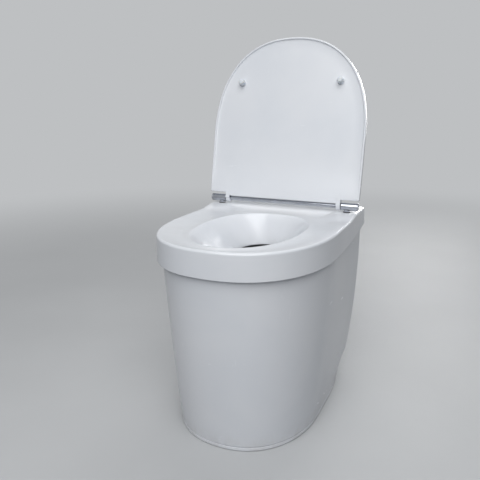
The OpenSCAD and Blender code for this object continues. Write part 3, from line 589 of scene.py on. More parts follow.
class Bench:
    """Adds nodes to one node tree and joins them."""

    def __init__(self, tree: bpy.types.NodeTree) -> None:
        """Starts on an emptied tree."""
        self.tree = tree
        tree.nodes.clear()

    def add(self, kind: str, feeds: Optional[Feeds] = None, **settings: object) -> bpy.types.Node:
        """Adds a node.

        Args:
            kind: Type of the node.
            feeds: Outputs or values for its inputs.
            settings: Its properties.

        Returns:
            The node.
        """
        node = self.tree.nodes.new(kind)
        for key, setting in settings.items():
            setattr(node, key, setting)
        row, column = divmod(len(self.tree.nodes), 9)
        node.location = (190 * column, -230 * row)
        return self.wire(node, feeds or {})

    def wire(self, node: bpy.types.Node, feeds: Feeds) -> bpy.types.Node:
        """Feeds a node's inputs.

        Args:
            node: The node.
            feeds: Outputs or values, each by the name or the number of its input.

        Returns:
            The same node.
        """
        for key, value in feeds.items():
            if isinstance(value, bpy.types.NodeSocket):
                self.tree.links.new(value, node.inputs[key])
            else:
                node.inputs[key].default_value = value
        return node

    def maths(self, operation: str, a: Value, b: Value = 0.0, clamp: bool = False) -> Socket:
        """Result of an operation on two numbers."""
        return self.add("ShaderNodeMath", {0: a, 1: b}, operation=operation, use_clamp=clamp).outputs[0]

    def mask(self, mark: Value, patch: Value, amount: Value) -> Socket:
        """Mark multiplied by its patches and its amount, and held from 0 to 1."""
        return self.maths("MULTIPLY", self.maths("MULTIPLY", mark, patch), amount, clamp=True)

    def ramp(self, value: Value, low: Value, high: Value, start: Value = 0.0, end: Value = 1.0) -> Socket:
        """Value spread smoothly from one range to another and held inside it."""
        feeds = dict(enumerate((value, low, high, start, end)))
        return self.add("ShaderNodeMapRange", feeds, interpolation_type="SMOOTHSTEP").outputs[0]

    def noise(self, place: Value, scale: Value, detail: float = 3.0, warp: float = 0.0) -> Socket:
        """Fractal noise from 0 to 1."""
        feeds = {"Vector": place, "Scale": scale, "Detail": detail, "Distortion": warp}
        return self.add("ShaderNodeTexNoise", feeds).outputs[0]

    def stretched(self, place: Value, scale: tuple, turn: tuple = (0.0, 0.0, 0.0)) -> Socket:
        """Coordinates turned and stretched."""
        return self.add("ShaderNodeMapping", {"Vector": place, "Rotation": turn, "Scale": scale}).outputs[0]

    def colours(self, share: Value, a: Value, b: Value) -> Socket:
        """Colour a share of the way from a to b."""
        return self.add("ShaderNodeMix", {0: share, 6: a, 7: b}, data_type="RGBA").outputs[2]

    def group(self, tree: bpy.types.NodeTree, **values: Value) -> bpy.types.Node:
        """Node of a shader group with its inputs fed by name."""
        return self.add("ShaderNodeGroup", values, node_tree=tree)

    def bump(self, height: Value, strength: float, distance: float) -> Socket:
        """Normal that follows a height."""
        return self.add("ShaderNodeBump", {"Strength": strength, "Distance": distance, "Height": height}).outputs[0]


def linear(red: int, green: int, blue: int) -> tuple[float, float, float, float]:
    """Turns a display colour into a scene colour.

    Args:
        red: Red, up to 255.
        green: Green, up to 255.
        blue: Blue, up to 255.

    Returns:
        The scene's red, green and blue, and full opacity.
    """
    def one(v: float) -> float:
        """One channel's scene value."""
        v /= 255
        return v / 12.92 if v <= 0.04045 else ((v + 0.055) / 1.055) ** 2.4
    return (one(red), one(green), one(blue), 1.0)


class Effects:
    """Shader groups that several finishes share."""

    def __init__(self) -> None:
        """Builds each group once."""
        self.mould = self._mould()
        self.scratches = self._scratches()
        self.dust = self._dust()
        self.rub = self._rub()
        self.lathe = self._lathe()

    @staticmethod
    def _start(name: str, inputs: dict[str, str], outputs: Sequence[str]
               ) -> tuple[bpy.types.NodeTree, Bench, dict[str, Socket], bpy.types.Node]:
        """Starts a group with its sockets.

        Args:
            name: Name of the group.
            inputs: Kind of each input by name, Vector or Float.
            outputs: Names of the outputs, all numbers.

        Returns:
            The tree, a bench on it, what its inputs give by name, and its output node.
        """
        tree = bpy.data.node_groups.new(name, "ShaderNodeTree")
        for key, kind in inputs.items():
            tree.interface.new_socket(name=key, in_out="INPUT", socket_type="NodeSocket" + kind)
        for key in outputs:
            tree.interface.new_socket(name=key, in_out="OUTPUT", socket_type="NodeSocketFloat")
        bench = Bench(tree)
        given = bench.add("NodeGroupInput")
        return tree, bench, {key: given.outputs[key] for key in inputs}, bench.add("NodeGroupOutput")

    def _mould(self) -> bpy.types.NodeTree:
        """Slow waves of a moulded wall with fine grain on them, and a slow change of tone.

        Returns:
            The group.
        """
        inputs = {"Place": "Vector", "Waves": "Float", "Grain": "Float", "Grain Share": "Float"}
        tree, bench, given, out = self._start("moulded_wall", inputs, ("Height", "Tone"))
        waves = bench.noise(given["Place"], given["Waves"], 1.0)
        grain = bench.noise(given["Place"], given["Grain"], 2.0)
        fine = bench.maths("MULTIPLY", grain, given["Grain Share"])
        bench.wire(out, {"Height": bench.maths("ADD", waves, fine), "Tone": bench.noise(given["Place"], 5.0, 4.0, 0.4)})
        return tree

    def _scratches(self) -> bpy.types.NodeTree:
        """Thin rub marks in two directions, gathered in patches.

        Returns:
            The group.
        """
        tree, bench, given, out = self._start("rub_marks", {"Place": "Vector", "Amount": "Float"}, ("Mask",))
        lines = []
        for turn, scale in (((0.3, 0.2, 0.5), (900.0, 22.0, 40.0)), ((0.1, 0.5, -0.6), (30.0, 1100.0, 24.0))):
            streak = bench.noise(bench.stretched(given["Place"], scale, turn), 1.0, 2.0, 0.3)
            lines.append(bench.ramp(streak, 0.66, 0.74))
        patch = bench.ramp(bench.noise(given["Place"], 14.0, 3.0), 0.45, 0.7)
        bench.wire(out, {"Mask": bench.mask(bench.maths("MAXIMUM", *lines), patch, given["Amount"])})
        return tree

    def _dust(self) -> bpy.types.NodeTree:
        """Thin dust low down by the floor and on what faces up.

        Returns:
            The group.
        """
        inputs = {"Place": "Vector", "Facing": "Vector", "Reach": "Float", "Amount": "Float"}
        tree, bench, given, out = self._start("settled_dust", inputs, ("Mask",))
        height, rise = (bench.add("ShaderNodeSeparateXYZ", {0: given[key]}).outputs[2] for key in ("Place", "Facing"))
        low = bench.ramp(height, given["Reach"], 0.0)
        up = bench.maths("MULTIPLY", bench.ramp(rise, 0.8, 1.0), 0.25)
        patch = bench.ramp(bench.noise(given["Place"], 30.0, 5.0, 0.5), 0.35, 0.75)
        bench.wire(out, {"Mask": bench.mask(bench.maths("MAXIMUM", low, up), patch, given["Amount"])})
        return tree

    def _rub(self) -> bpy.types.NodeTree:
        """Pale convex edges: partly rub wear from handling, partly a painted edge highlight.

        Returns:
            The group.
        """
        tree, bench, given, out = self._start("edge_rub_and_painted_highlight", {"Place": "Vector", "Amount": "Float"}, ("Mask",))
        # Pointiness picks the convex edges; their pale colour is partly rub wear and partly a painted highlight.
        edge = bench.ramp(bench.add("ShaderNodeNewGeometry").outputs["Pointiness"], 0.52, 0.62)
        patch = bench.ramp(bench.noise(given["Place"], 60.0, 4.0), 0.35, 0.65)
        bench.wire(out, {"Mask": bench.mask(edge, patch, given["Amount"])})
        return tree

    def _lathe(self) -> bpy.types.NodeTree:
        """Fine lines of turned or polished metal, with finger smears.

        Returns:
            The group.
        """
        tree, bench, given, out = self._start(
            "polish_lines", {"Place": "Vector", "Fineness": "Float"}, ("Height", "Smear"))
        lines = bench.noise(bench.stretched(given["Place"], (1.0, 0.08, 0.08)), given["Fineness"], 2.0)
        smear = bench.ramp(bench.noise(given["Place"], 55.0, 4.0, 1.2), 0.45, 0.75)
        bench.wire(out, {"Height": lines, "Smear": smear})
        return tree


# ---------------------------------------------------------------- finishes


@dataclass(frozen=True)
class Finish:
    """Base of all finishes: a name and a colour in display numbers."""

    name: str
    colour: tuple[int, int, int]

    def material(self, effects: Effects) -> bpy.types.Material:
        """Makes the finish's material.

        Args:
            effects: Shader groups that finishes share.

        Returns:
            The material.
        """
        material = bpy.data.materials.new(self.name)
        material.use_nodes = True
        material.diffuse_color = linear(*self.colour)
        bench = Bench(material.node_tree)
        shader = bench.add("ShaderNodeBsdfPrincipled")
        bench.add("ShaderNodeOutputMaterial", {"Surface": shader.outputs[0]})
        place = bench.add("ShaderNodeTexCoord").outputs["Object"]
        bench.wire(shader, self.look(bench, effects, place))
        return material

    def look(self, bench: Bench, effects: Effects, place: Socket) -> Feeds:
        """What goes into the shader; each kind of finish makes its own."""
        raise NotImplementedError


@dataclass(frozen=True)
class GlossShell(Finish):
    """Glossy injection-moulded shell with faint waves, rub marks and dust at the foot."""

    shade: tuple[int, int, int] = (222, 226, 232)
    dust: tuple[int, int, int] = (176, 170, 160)
    roughness: float = 0.25
    worn_roughness: float = 0.4
    coat: float = 0.25

    def look(self, bench: Bench, effects: Effects, place: Socket) -> Feeds:
        """Wires the shell's look.

        Args:
            bench: Bench on the material.
            effects: Shader groups that finishes share.
            place: Coordinates of the piece at rest.

        Returns:
            What goes into the shader.
        """
        facing = bench.add("ShaderNodeNewGeometry").outputs["Normal"]
        wall = bench.group(effects.mould, **{"Place": place, "Waves": 16.0, "Grain": 900.0, "Grain Share": 0.05})
        marks = bench.group(effects.scratches, Place=place, Amount=0.55).outputs["Mask"]
        dust = bench.group(effects.dust, Place=place, Facing=facing, Reach=0.05, Amount=0.22).outputs["Mask"]
        tone = bench.ramp(wall.outputs["Tone"], 0.35, 0.75)
        clean = bench.colours(tone, linear(*self.colour), linear(*self.shade))
        worn = bench.maths("MAXIMUM", marks, dust)
        return {"Base Color": bench.colours(dust, clean, linear(*self.dust)),
                "Roughness": bench.ramp(worn, 0.0, 1.0, self.roughness, self.worn_roughness),
                "Normal": bench.bump(wall.outputs["Height"], 0.2, 0.0006),
                "IOR": 1.5, "Coat Weight": self.coat, "Coat Roughness": 0.18}


@dataclass(frozen=True)
class PlatedMetal(Finish):
    """Bright or brushed metal."""

    smear: tuple[int, int, int] = (196, 200, 206)
    roughness: float = 0.07
    smear_roughness: float = 0.2
    fineness: float = 5200.0
    depth: float = 0.03

    def look(self, bench: Bench, effects: Effects, place: Socket) -> Feeds:
        """Wires the metal's look.

        Args:
            bench: Bench on the material.
            effects: Shader groups that finishes share.
            place: Coordinates of the piece at rest.

        Returns:
            What goes into the shader.
        """
        lines = bench.group(effects.lathe, Place=place, Fineness=self.fineness)
        smear = lines.outputs["Smear"]
        return {"Base Color": bench.colours(smear, linear(*self.colour), linear(*self.smear)),
                "Roughness": bench.ramp(smear, 0.0, 1.0, self.roughness, self.smear_roughness),
                "Normal": bench.bump(lines.outputs["Height"], self.depth, 0.0002), "Metallic": 1.0}


@dataclass(frozen=True)
class Moulded(Finish):
    """Satin or matt moulded plastic or rubber with grain, pale edges that are partly rub wear and partly a painted
    highlight, and dust.
    """

    shade: tuple[int, int, int] = (120, 120, 120)
    # The worn colour is also the painted highlight on convex edges.
    worn: tuple[int, int, int] = (190, 190, 190)
    dust: tuple[int, int, int] = (168, 164, 156)
    roughness: float = 0.42
    rough_spread: float = 0.14
    waves: float = 40.0
    grain: float = 1400.0
    grain_share: float = 0.5
    depth: float = 0.00025
    wear_and_highlight_amount: float = 0.5
    dust_amount: float = 0.25
    glow: float = 0.0

    def look(self, bench: Bench, effects: Effects, place: Socket) -> Feeds:
        """Wires the plastic's look.

        Args:
            bench: Bench on the material.
            effects: Shader groups that finishes share.
            place: Coordinates of the piece at rest.

        Returns:
            What goes into the shader.
        """
        facing = bench.add("ShaderNodeNewGeometry").outputs["Normal"]
        wall = bench.group(effects.mould, **{"Place": place, "Waves": self.waves, "Grain": self.grain,
                                             "Grain Share": self.grain_share})
        # Pale convex edges: partly rub wear, partly a painted edge highlight.
        rub = bench.group(effects.rub, Place=place, Amount=self.wear_and_highlight_amount).outputs["Mask"]
        marks = bench.group(effects.scratches, Place=place, Amount=self.wear_and_highlight_amount).outputs["Mask"]
        dust = bench.group(effects.dust, Place=place, Facing=facing, Reach=0.03, Amount=self.dust_amount)
        tone = bench.ramp(wall.outputs["Tone"], 0.3, 0.75)
        clean = bench.colours(tone, linear(*self.colour), linear(*self.shade))
        worn = bench.maths("MAXIMUM", rub, bench.maths("MULTIPLY", marks, 0.4))
        rub_and_highlight_colour = bench.colours(worn, clean, linear(*self.worn))
        rough = bench.ramp(bench.maths("ADD", tone, marks), 0.0, 1.6, self.roughness,
                           self.roughness + self.rough_spread)
        return {"Base Color": bench.colours(dust.outputs["Mask"], rub_and_highlight_colour, linear(*self.dust)), "Roughness": rough,
                "Normal": bench.bump(wall.outputs["Height"], 0.5, self.depth),
                "Subsurface Weight": self.glow, "Subsurface Radius": (0.006, 0.005, 0.004)}


def finishes(effects: Effects) -> dict[Slot, bpy.types.Material]:
    """Makes the object's materials.

    Args:
        effects: Shader groups that finishes share.

    Returns:
        The material of each slot of the record.
    """
    # Each worn colour also paints a highlight on the piece's convex edges.
    kinds: dict[Slot, Finish] = {
        Slot.SHELL: GlossShell("white_gloss_shell", (228, 231, 236)),
        Slot.CHROME: PlatedMetal("bright_plating", (184, 187, 194), smear=(166, 169, 176), roughness=0.05),
        Slot.STEEL: PlatedMetal("plain_steel", (168, 170, 172), smear=(140, 141, 142), roughness=0.28,
                                smear_roughness=0.45, fineness=2600.0, depth=0.15),
        Slot.RUBBER: Moulded("soft_black_rubber", (38, 38, 40), shade=(52, 52, 54), worn=(92, 92, 92),
                             roughness=0.68, grain=900.0, wear_and_highlight_amount=0.3, dust_amount=0.4),
        Slot.SILICONE: Moulded("milky_silicone", (222, 227, 232), shade=(214, 220, 226), worn=(230, 234, 238),
                               roughness=0.3, wear_and_highlight_amount=0.2, dust_amount=0.1, glow=0.35),
        Slot.DARK: Moulded("dark_fan_plastic", (46, 47, 49), shade=(56, 57, 59), worn=(96, 97, 99), roughness=0.4,
                           dust_amount=0.35),
        Slot.GREY: Moulded("grey_fitting_plastic", (150, 153, 157), shade=(138, 141, 146), worn=(186, 188, 191),
                           roughness=0.36),
        Slot.BUCKET: Moulded("blue_grey_bucket", (98, 110, 122), shade=(88, 100, 112), worn=(146, 156, 166),
                             roughness=0.34, wear_and_highlight_amount=0.7, waves=24.0, grain=700.0, grain_share=0.3),
        Slot.CANISTER: Moulded("natural_canister", (228, 222, 202), shade=(220, 212, 188), worn=(238, 234, 222),
                               roughness=0.38, wear_and_highlight_amount=0.35, waves=18.0, grain=500.0, grain_share=0.35, glow=0.25),
        Slot.CLIP: Moulded("white_clip_nylon", (222, 222, 216), shade=(210, 210, 202), worn=(236, 236, 232),
                           roughness=0.44, wear_and_highlight_amount=0.2),
        Slot.LEAD: Moulded("lead_jacket_black", (34, 34, 36), shade=(44, 44, 46), worn=(80, 80, 82), roughness=0.38,
                           wear_and_highlight_amount=0.25),
    }
    return {slot: kind.material(effects) for slot, kind in kinds.items()}


class Dresser:
    """Gives finished pieces the material of their record slot and their body, and reports them."""

    def __init__(self, materials: dict[Slot, bpy.types.Material]) -> None:
        """Keeps the materials."""
        self.materials = materials

    def dress(self, thing: bpy.types.Object, body: Body, slot: Slot, *nodes: str) -> None:
        """Finishes one piece.

        Args:
            thing: The piece.
            body: Body that it rides on.
            slot: Slot of its material.
            nodes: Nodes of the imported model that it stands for.
        """
        thing.data.materials.clear()
        thing.data.materials.append(self.materials[slot])
        even = thing.modifiers.new("even_normals", "WEIGHTED_NORMAL")
        even.keep_sharp = True
        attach(thing, body.value)
        if nodes:
            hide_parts(*nodes)
        LOG.info("%-26s %-10s %6d faces", thing.name, body.value, len(thing.data.polygons))


def screw(length: float, head_r: float, axis: Axis, centre: Sequence[float]) -> Shape:
    """Pan-head screw along an axis, with its head's outer face at the centre.

    Args:
        length: Length from the head's outer face to the tip.
        head_r: Radius of the head.
        axis: Direction of the screw.
        centre: Middle of the head's outer face.

    Returns:
        The screw's shape, with no recess in its head.
    """
    radius, root, head_h, pitch = 1.99, 1.99 * 0.8, 2.5, 1.4
    head = soften([((0, 0), 0), ((head_r * 0.7, 0), head_r * 0.35), ((head_r, head_h * 0.55), head_h * 0.3),
                   ((head_r, head_h), 0.2), ((radius, head_h), 0)], 3)
    thread, h = [], head_h + 0.3
    while h < length - pitch - 0.8:
        thread += [(root, h), (radius, h + pitch * 0.35), (radius, h + pitch * 0.5), (root, h + pitch * 0.85)]
        h += pitch
    tip = [(radius * 0.75, length - 0.8), (0, length)]
    return Shape().turned(head + thread + tip, axis, centre, 28)


def screws(name: str, places: Sequence[Sequence[float]], axis: Axis, length: float, head_r: float,
           recess: tuple[float, float]) -> bpy.types.Object:
    """Screws of one kind, each with a cross-shaped recess in its head.

    Args:
        name: Name of the object.
        places: Middle of each head's outer face.
        axis: Direction of the screws.
        length: Length of a screw.
        head_r: Radius of a head.
        recess: Half the width of the recess, and its depth.

    Returns:
        One object with all the screws.
    """
    shape, tool = Shape(), Shape()
    size, depth = recess
    arm = size * 0.22
    for place in places:
        shape.take(screw(length, head_r, axis, place))
        tool.block(size, arm, -depth, depth, axis, place, 0.1, 0.05)
        tool.block(arm, size, -depth * 0.98, depth * 0.98, axis, place, 0.1, 0.05)
    return carved(shape.made(name), tool, crossing=True)


# ---------------------------------------------------------------- pedestal


@dataclass(frozen=True)
class CasingForm:
    """Sizes of the tapered casing, and its plan at any height."""

    foot_width: float = 318.0
    foot_rear_width: float = 279.0
    foot_front: float = 223.0
    rear: float = LAYOUT.rear
    wall: float = 3.0
    corner: float = 14.0
    plinth: float = 9.0
    lip: float = 2.0
    groove: float = 2.5
    head_z: float = 424.0
    head_width: float = 370.0
    head_rear_width: float = 366.0
    head_front: float = 258.0
    bulge: float = 0.26
    rear_step: tuple[float, float] = (0.25, 0.16)
    rear_power: float = 2.3
    boss_d: float = 14.0
    boss_stations: tuple[int, ...] = (21, 28, 33, 37)

    def outline(self, z: float, inset: float, **steps: int) -> Outline:
        """Outline of the casing at a height.

        Args:
            z: Height.
            inset: Distance by which the outline is moved in.
            steps: Numbers of spans that differ from an outline's usual ones.

        Returns:
            The outline.
        """
        t = (z - self.plinth) / (self.head_z - self.plinth)
        flare = t + self.bulge * t * (1 - t)
        step, run = self.rear_step
        rear_flare = step * float(eased(t / run)) + (1 - step) * (1 - (1 - t) ** self.rear_power)
        half = blend(self.foot_width, self.head_width, flare) / 2
        rear_half = blend(self.foot_rear_width, self.head_rear_width, rear_flare) / 2
        front = blend(self.foot_front, self.head_front, flare)
        return Outline(half - inset, rear_half - inset, front - inset, self.rear - inset, self.corner - inset,
                       power=2.2, **steps)

    def plan(self, z: float, inset: float = 0.0) -> Points:
        """Plan points at a height, moved in by an inset."""
        return self.outline(z, inset).points()

    def ring(self, z: float, inset: float = 0.0) -> Points:
        """Points of the casing's outline at a height."""
        return at_height(self.plan(z, inset), z)

    def bosses(self) -> list[tuple[float, float]]:
        """Finds the screw bosses.

        Returns:
            The plan places of the four bosses on one side and of the four on the other.
        """
        coarse = self.outline(self.plinth + self.lip, self.groove + self.boss_d / 2, front_steps=32, side_steps=6,
                              corner_steps=3, rear_steps=8).points()
        right = [tuple(coarse[i]) for i in self.boss_stations]
        return right + [(-x, y) for x, y in right]


@dataclass
class Pedestal:
    """Casing, base plate with its plinth, the seal between casing and seat, and the base's screws."""

    form: CasingForm
    dresser: Dresser
    plate: float = LAYOUT.plate
    plinth_round: float = 3.5
    plinth_inset: float = 0.5
    plinth_ring: float = 6.0
    bucket_y: float = LAYOUT.bucket_y
    bucket_ring: tuple[float, float] = (105.5, 108.5)
    ring_low: float = 3.0
    ring_top: float = 11.0
    fan_z: float = LAYOUT.fan_z
    wall_hole: float = 38.8
    inlet: tuple[float, float] = LAYOUT.inlet
    inlet_hole: float = 5.8
    floor_hole: tuple[float, float] = (60.0, 196.0)
    seal_height: float = 4.0

    def build(self) -> None:
        """Builds and dresses every piece of the pedestal."""
        self.casing()
        self.base()
        self.seal()
        heads = [(x, y, 0.5) for x, y in self.form.bosses()]
        thing = screws("base_plate_screws", heads, Axis.Z, 18.0, 4.0, (2.2, 1.4))
        self.dresser.dress(thing, Body.STAND, Slot.STEEL, "base_screws")

    def casing(self) -> None:
        """Builds the tapered shell with its bosses and the holes in its rear wall."""
        f = self.form
        low, boss_r = f.plinth + f.lip, f.boss_d / 2
        heights = low + (f.head_z - low) * np.linspace(0, 1, 40) ** 1.15
        path = [(at_height(f.plan(f.plinth, f.groove), f.plinth), 0.6), (f.ring(low), 1.0)]
        path += [(f.ring(z), 0) for z in heights[1:-1]]
        path += [(f.ring(f.head_z), 1.0), (f.ring(f.head_z, f.wall), 1.0)]
        path += [(f.ring(z, f.wall), 0) for z in heights[-2:0:-1]]
        path += [(f.ring(low + 6, f.wall + 0.4), 0),
                 (at_height(f.plan(f.plinth, f.wall + f.groove), f.plinth), 0.6)]
        thing = Shape().swept(path).made("casing_shell")
        bosses, holes = Shape(), Shape()
        wall_y = f.rear - f.wall / 2
        holes.cylinder(self.wall_hole, -8, 8, Axis.Y, (0, wall_y, self.fan_z), 96)
        holes.cylinder(self.inlet_hole, -8, 8, Axis.Y, (self.inlet[0], wall_y, self.inlet[1]), 48)
        for x, y in f.bosses():
            bosses.lathe([(0, 0, 0), (boss_r, 0, 0.5), (boss_r, 22, 0.8), (0, 22, 0)], Axis.Z,
                         (x, y, self.plate + 0.3), 40, 3)
            holes.turned([(0, -4), (2, -4), (2, 19), (0, 20)], Axis.Z, (x, y, self.plate), 24)
        carved(thing, bosses, "UNION")
        carved(thing, holes)
        self.dresser.dress(thing, Body.STAND, Slot.SHELL, "casing")

    def base(self) -> None:
        """Builds the foot plate with its plinth band, locating rings, screw holes and floor holes."""
        f, canister = self.form, CanisterForm()

        def ring(inset: float, z: float) -> Points:
            """The plinth's outline, moved in by an inset, at a height."""
            return at_height(f.plan(f.plinth + f.lip, self.plinth_inset + inset), z)
        path = [(ring(self.plinth_round + 12, 0), 0)]
        path += [(ring(self.plinth_round * side, self.plinth_round * down), 0) for side, down in quarter(8, back=True)]
        path += [(ring(0, f.plinth), 0.7), (ring(self.plinth_ring, f.plinth), 0.7),
                 (ring(self.plinth_ring, self.plate), 0.8), (ring(self.plinth_ring + 12, self.plate), 0)]
        thing = Shape().swept(path, closed=False).made("base_plate_plinth")
        (inner, outer), low, top = self.bucket_ring, self.ring_low, self.ring_top
        rings = Shape().lathe([(inner, low, 0), (outer, low, 0), (outer, top, 0.9), (inner, top, 0.9)], Axis.Z,
                              (0, self.bucket_y, 0), 120, 3, True)
        seat = [(-4.5, low, 0), (-4.5, top, 0.9), (-1.5, top, 0.9), (-1.5, low, 0)]
        rings.swept([(at_height(canister.plan(inset), z), reach) for inset, z, reach in seat], 3)
        carved(thing, rings, "UNION", crossing=True)
        cuts = Shape()
        for x, y in f.bosses():
            cuts.cylinder(7.3, self.plate, 20, Axis.Z, (x, y, 0), 40)
            cuts.turned([(0, -1), (4.5, -1), (4.5, 3), (2.3, 3), (2.3, self.plate + 1), (0, self.plate + 1)],
                        Axis.Z, (x, y, 0), 40)
        for side, end in ((-1, -1), (-1, 1), (1, -1), (1, 1)):
            cuts.turned([(0, -1), (4.1, -1), (3.5, 0.6), (3.5, 5.4), (4.1, 7), (0, 7)], Axis.Z,
                        (side * self.floor_hole[0], end * self.floor_hole[1], 0), 40)
        carved(thing, cuts, crossing=True)
        self.dresser.dress(thing, Body.STAND, Slot.SHELL, "base")

    def seal(self) -> None:
        """Builds the soft strip along the casing's rim."""
        f, low, high = self.form, self.form.head_z, self.form.head_z + self.seal_height
        outer, inner = f.plan(low, 0.3), f.plan(low, f.wall - 0.3)
        path = [(at_height(outer, low), 0.3), (at_height(outer, high), 1.1), (at_height(inner, high), 1.1),
                (at_height(inner, low), 0.3)]
        self.dresser.dress(Shape().swept(path).made("rim_seal_strip"), Body.STAND, Slot.RUBBER, "casing_seal")


# ---------------------------------------------------------------- seat unit


@dataclass
class SeatUnit:
    """Seat, skirt, hinge deck and diverting bowl in one moulding, and what hangs below it."""

    dresser: Dresser
    height: float = 440.0
    width: float = 383.0
    front: float = 264.5
    rear: float = 222.0
    skirt: float = 55.0
    sweep: float = 23.0
    sweep_start: float = -40.0
    sweep_power: float = 2.2
    wall: float = 3.5
    deck_rise: float = 6.0
    edge: float = 5.0
    lean: float = 1.0
    ledge: float = 8.0
    ledge_z: float = 428.0
    dish: float = 2.0
    ramp: tuple[float, float] = (70.0, 130.0)
    deck_flat: float = 0.4
    bowl_width: float = 235.0
    bowl_front: float = 230.0
    bowl_rear: float = 101.0
    bowl_rear_share: float = 0.44
    bowl_rear_power: float = 2.5
    hole: tuple[float, float, float] = (116.0, 15.0, 67.0)
    hole_drop: float = 74.0
    dam: float = 8.0
    funnel_drop: float = 90.0
    funnel_spread: tuple[float, float] = (46.0, 40.0)
    drain_y: float = LAYOUT.drain_y
    crest_front_drop: float = 1.5
    crest_side_drop: float = 5.0
    crest_rear_drop: float = 3.8
    crest_reach: tuple[float, float] = (11.0, 20.0)
    toe_share: tuple[float, float] = (0.1, 0.35)
    toe_rise: float = 0.3
    lip: tuple[float, float] = (14.0, 3.0)
    bowl_rows: int = 34
    seat_rows: int = 16
    crease: float = 45.0

    def build(self) -> None:
        """Builds and dresses every piece of the seat unit but its hinges."""
        self.moulding()
        self.chute()
        spout = Shape().lathe([(8.5, 0, 0.5), (11, 0, 0.7), (11, 76.5, 0.6), (15, 76.5, 0.4), (15, 78, 0.7),
                               (8.5, 78, 1.4)], Axis.Z, (0, self.drain_y, 276), 64, 4, True)
        self.dresser.dress(spout.made("urine_spout"), Body.SEAT, Slot.SHELL, "drain_spout")
        nut = Shape().lathe([(11.05, 0, 0.4), (17.6, 0, 0.3), (19, 1.2, 0.3), (19, 8, 0.5), (11.05, 8, 0.4)],
                            Axis.Z, (0, self.drain_y, 336), 8, 2, True)
        self.dresser.dress(nut.made("spout_nut", 20.0), Body.SEAT, Slot.GREY, "drain_nut")

    def plan(self, inset: float) -> Points:
        """Plan of the seat, moved in by an inset."""
        half = self.width / 2 - inset
        return Outline(half, half - 1.0, self.front - inset, self.rear - inset, max(2.0, 10.0 - inset / 2)).points()

    def skirt_low(self, y: Points) -> Points:
        """Height of the skirt's lower edge."""
        rise = np.maximum(0, y - self.sweep_start) / (self.rear - self.sweep_start)
        return self.height - self.skirt + self.sweep * rise**self.sweep_power

    def deck_share(self, y: Points) -> Points:
        """Share of the hinge deck: 0 on the seat, 1 on the deck, rising over the ramp between them."""
        return eased((y - self.ramp[0]) / (self.ramp[1] - self.ramp[0]))

    def level(self, y: Points) -> Points:
        """Height of the seat's surface at its outer edge."""
        return self.height + self.deck_rise * self.deck_share(y)

    def crest(self, rim: Points) -> tuple[Points, Points, Points, Points]:
        """The bowl's crest: an ellipse in front of its widest place and squarer behind it.

        Args:
            rim: Plan of the seat's outer edge, which the crest's points face.

        Returns:
            The crest's plan, its heights, how far each point faces the front, from 0 to 1, and its angle.
        """
        half, length = self.bowl_width / 2, self.bowl_front + self.bowl_rear
        behind = self.bowl_rear_share * length
        middle = self.bowl_rear - behind
        span = np.where(rim[:, 1] > middle, behind, length - behind)
        angle = np.arctan2((rim[:, 1] - middle) / span, rim[:, 0] / half)
        frontness, rearness = np.maximum(0, -np.sin(angle)), np.maximum(0, np.sin(angle))
        power = np.where(rearness > 0, 2 / self.bowl_rear_power, 1.0)
        plan = np.column_stack([half * signed_power(np.cos(angle), power),
                                middle + span * signed_power(np.sin(angle), power)])
        height = (self.height - self.crest_front_drop * frontness - self.crest_side_drop * np.cos(angle) ** 2
                  - self.crest_rear_drop * rearness)
        return plan, height, frontness, angle

    def path(self) -> list[tuple[Points, float]]:
        """Lines up the moulding's rings: up the skirt, over the seat, down the bowl and back underneath.

        Returns:
            The closed path of rings, each with the reach of its rounding.
        """
        rim = self.plan(self.lean + self.edge)
        inner = self.plan(self.wall + self.ledge)
        crest, crest_z, frontness, angle = self.crest(rim)
        hole = np.column_stack([self.hole[0] / 2 * np.cos(angle), self.hole[1] + self.hole[2] * np.sin(angle)])
        hole_z = self.height - self.hole_drop
        rim_z = hole_z + self.dam * frontness**2
        way = crest - hole
        width = np.linalg.norm(way, axis=1)
        way = way / width[:, None]

        def along(r: Points, z: Points) -> Points:
            """Ring at a distance from the hole's edge towards the crest."""
            return at_height(hole + way * np.broadcast_to(r, len(hole))[:, None], z)

        def surface(start: Points, s: float, drop: float) -> Points:
            """Ring of the seat's dished surface.

            Args:
                start: Plan that the surface starts from.
                s: Share of the way from the start to the crest.
                drop: Distance below the surface.

            Returns:
                The ring's points.
            """
            p = start * (1 - s) + crest * s
            deck = self.deck_share(p[:, 1])
            t = np.maximum(0, s - self.deck_flat * deck) / (1 - self.deck_flat * deck)
            dip = self.dish * np.sin(math.pi * blend(t, eased(t), deck))
            return at_height(p, blend(self.level(p[:, 1]), crest_z, eased(t)) - dip - drop)

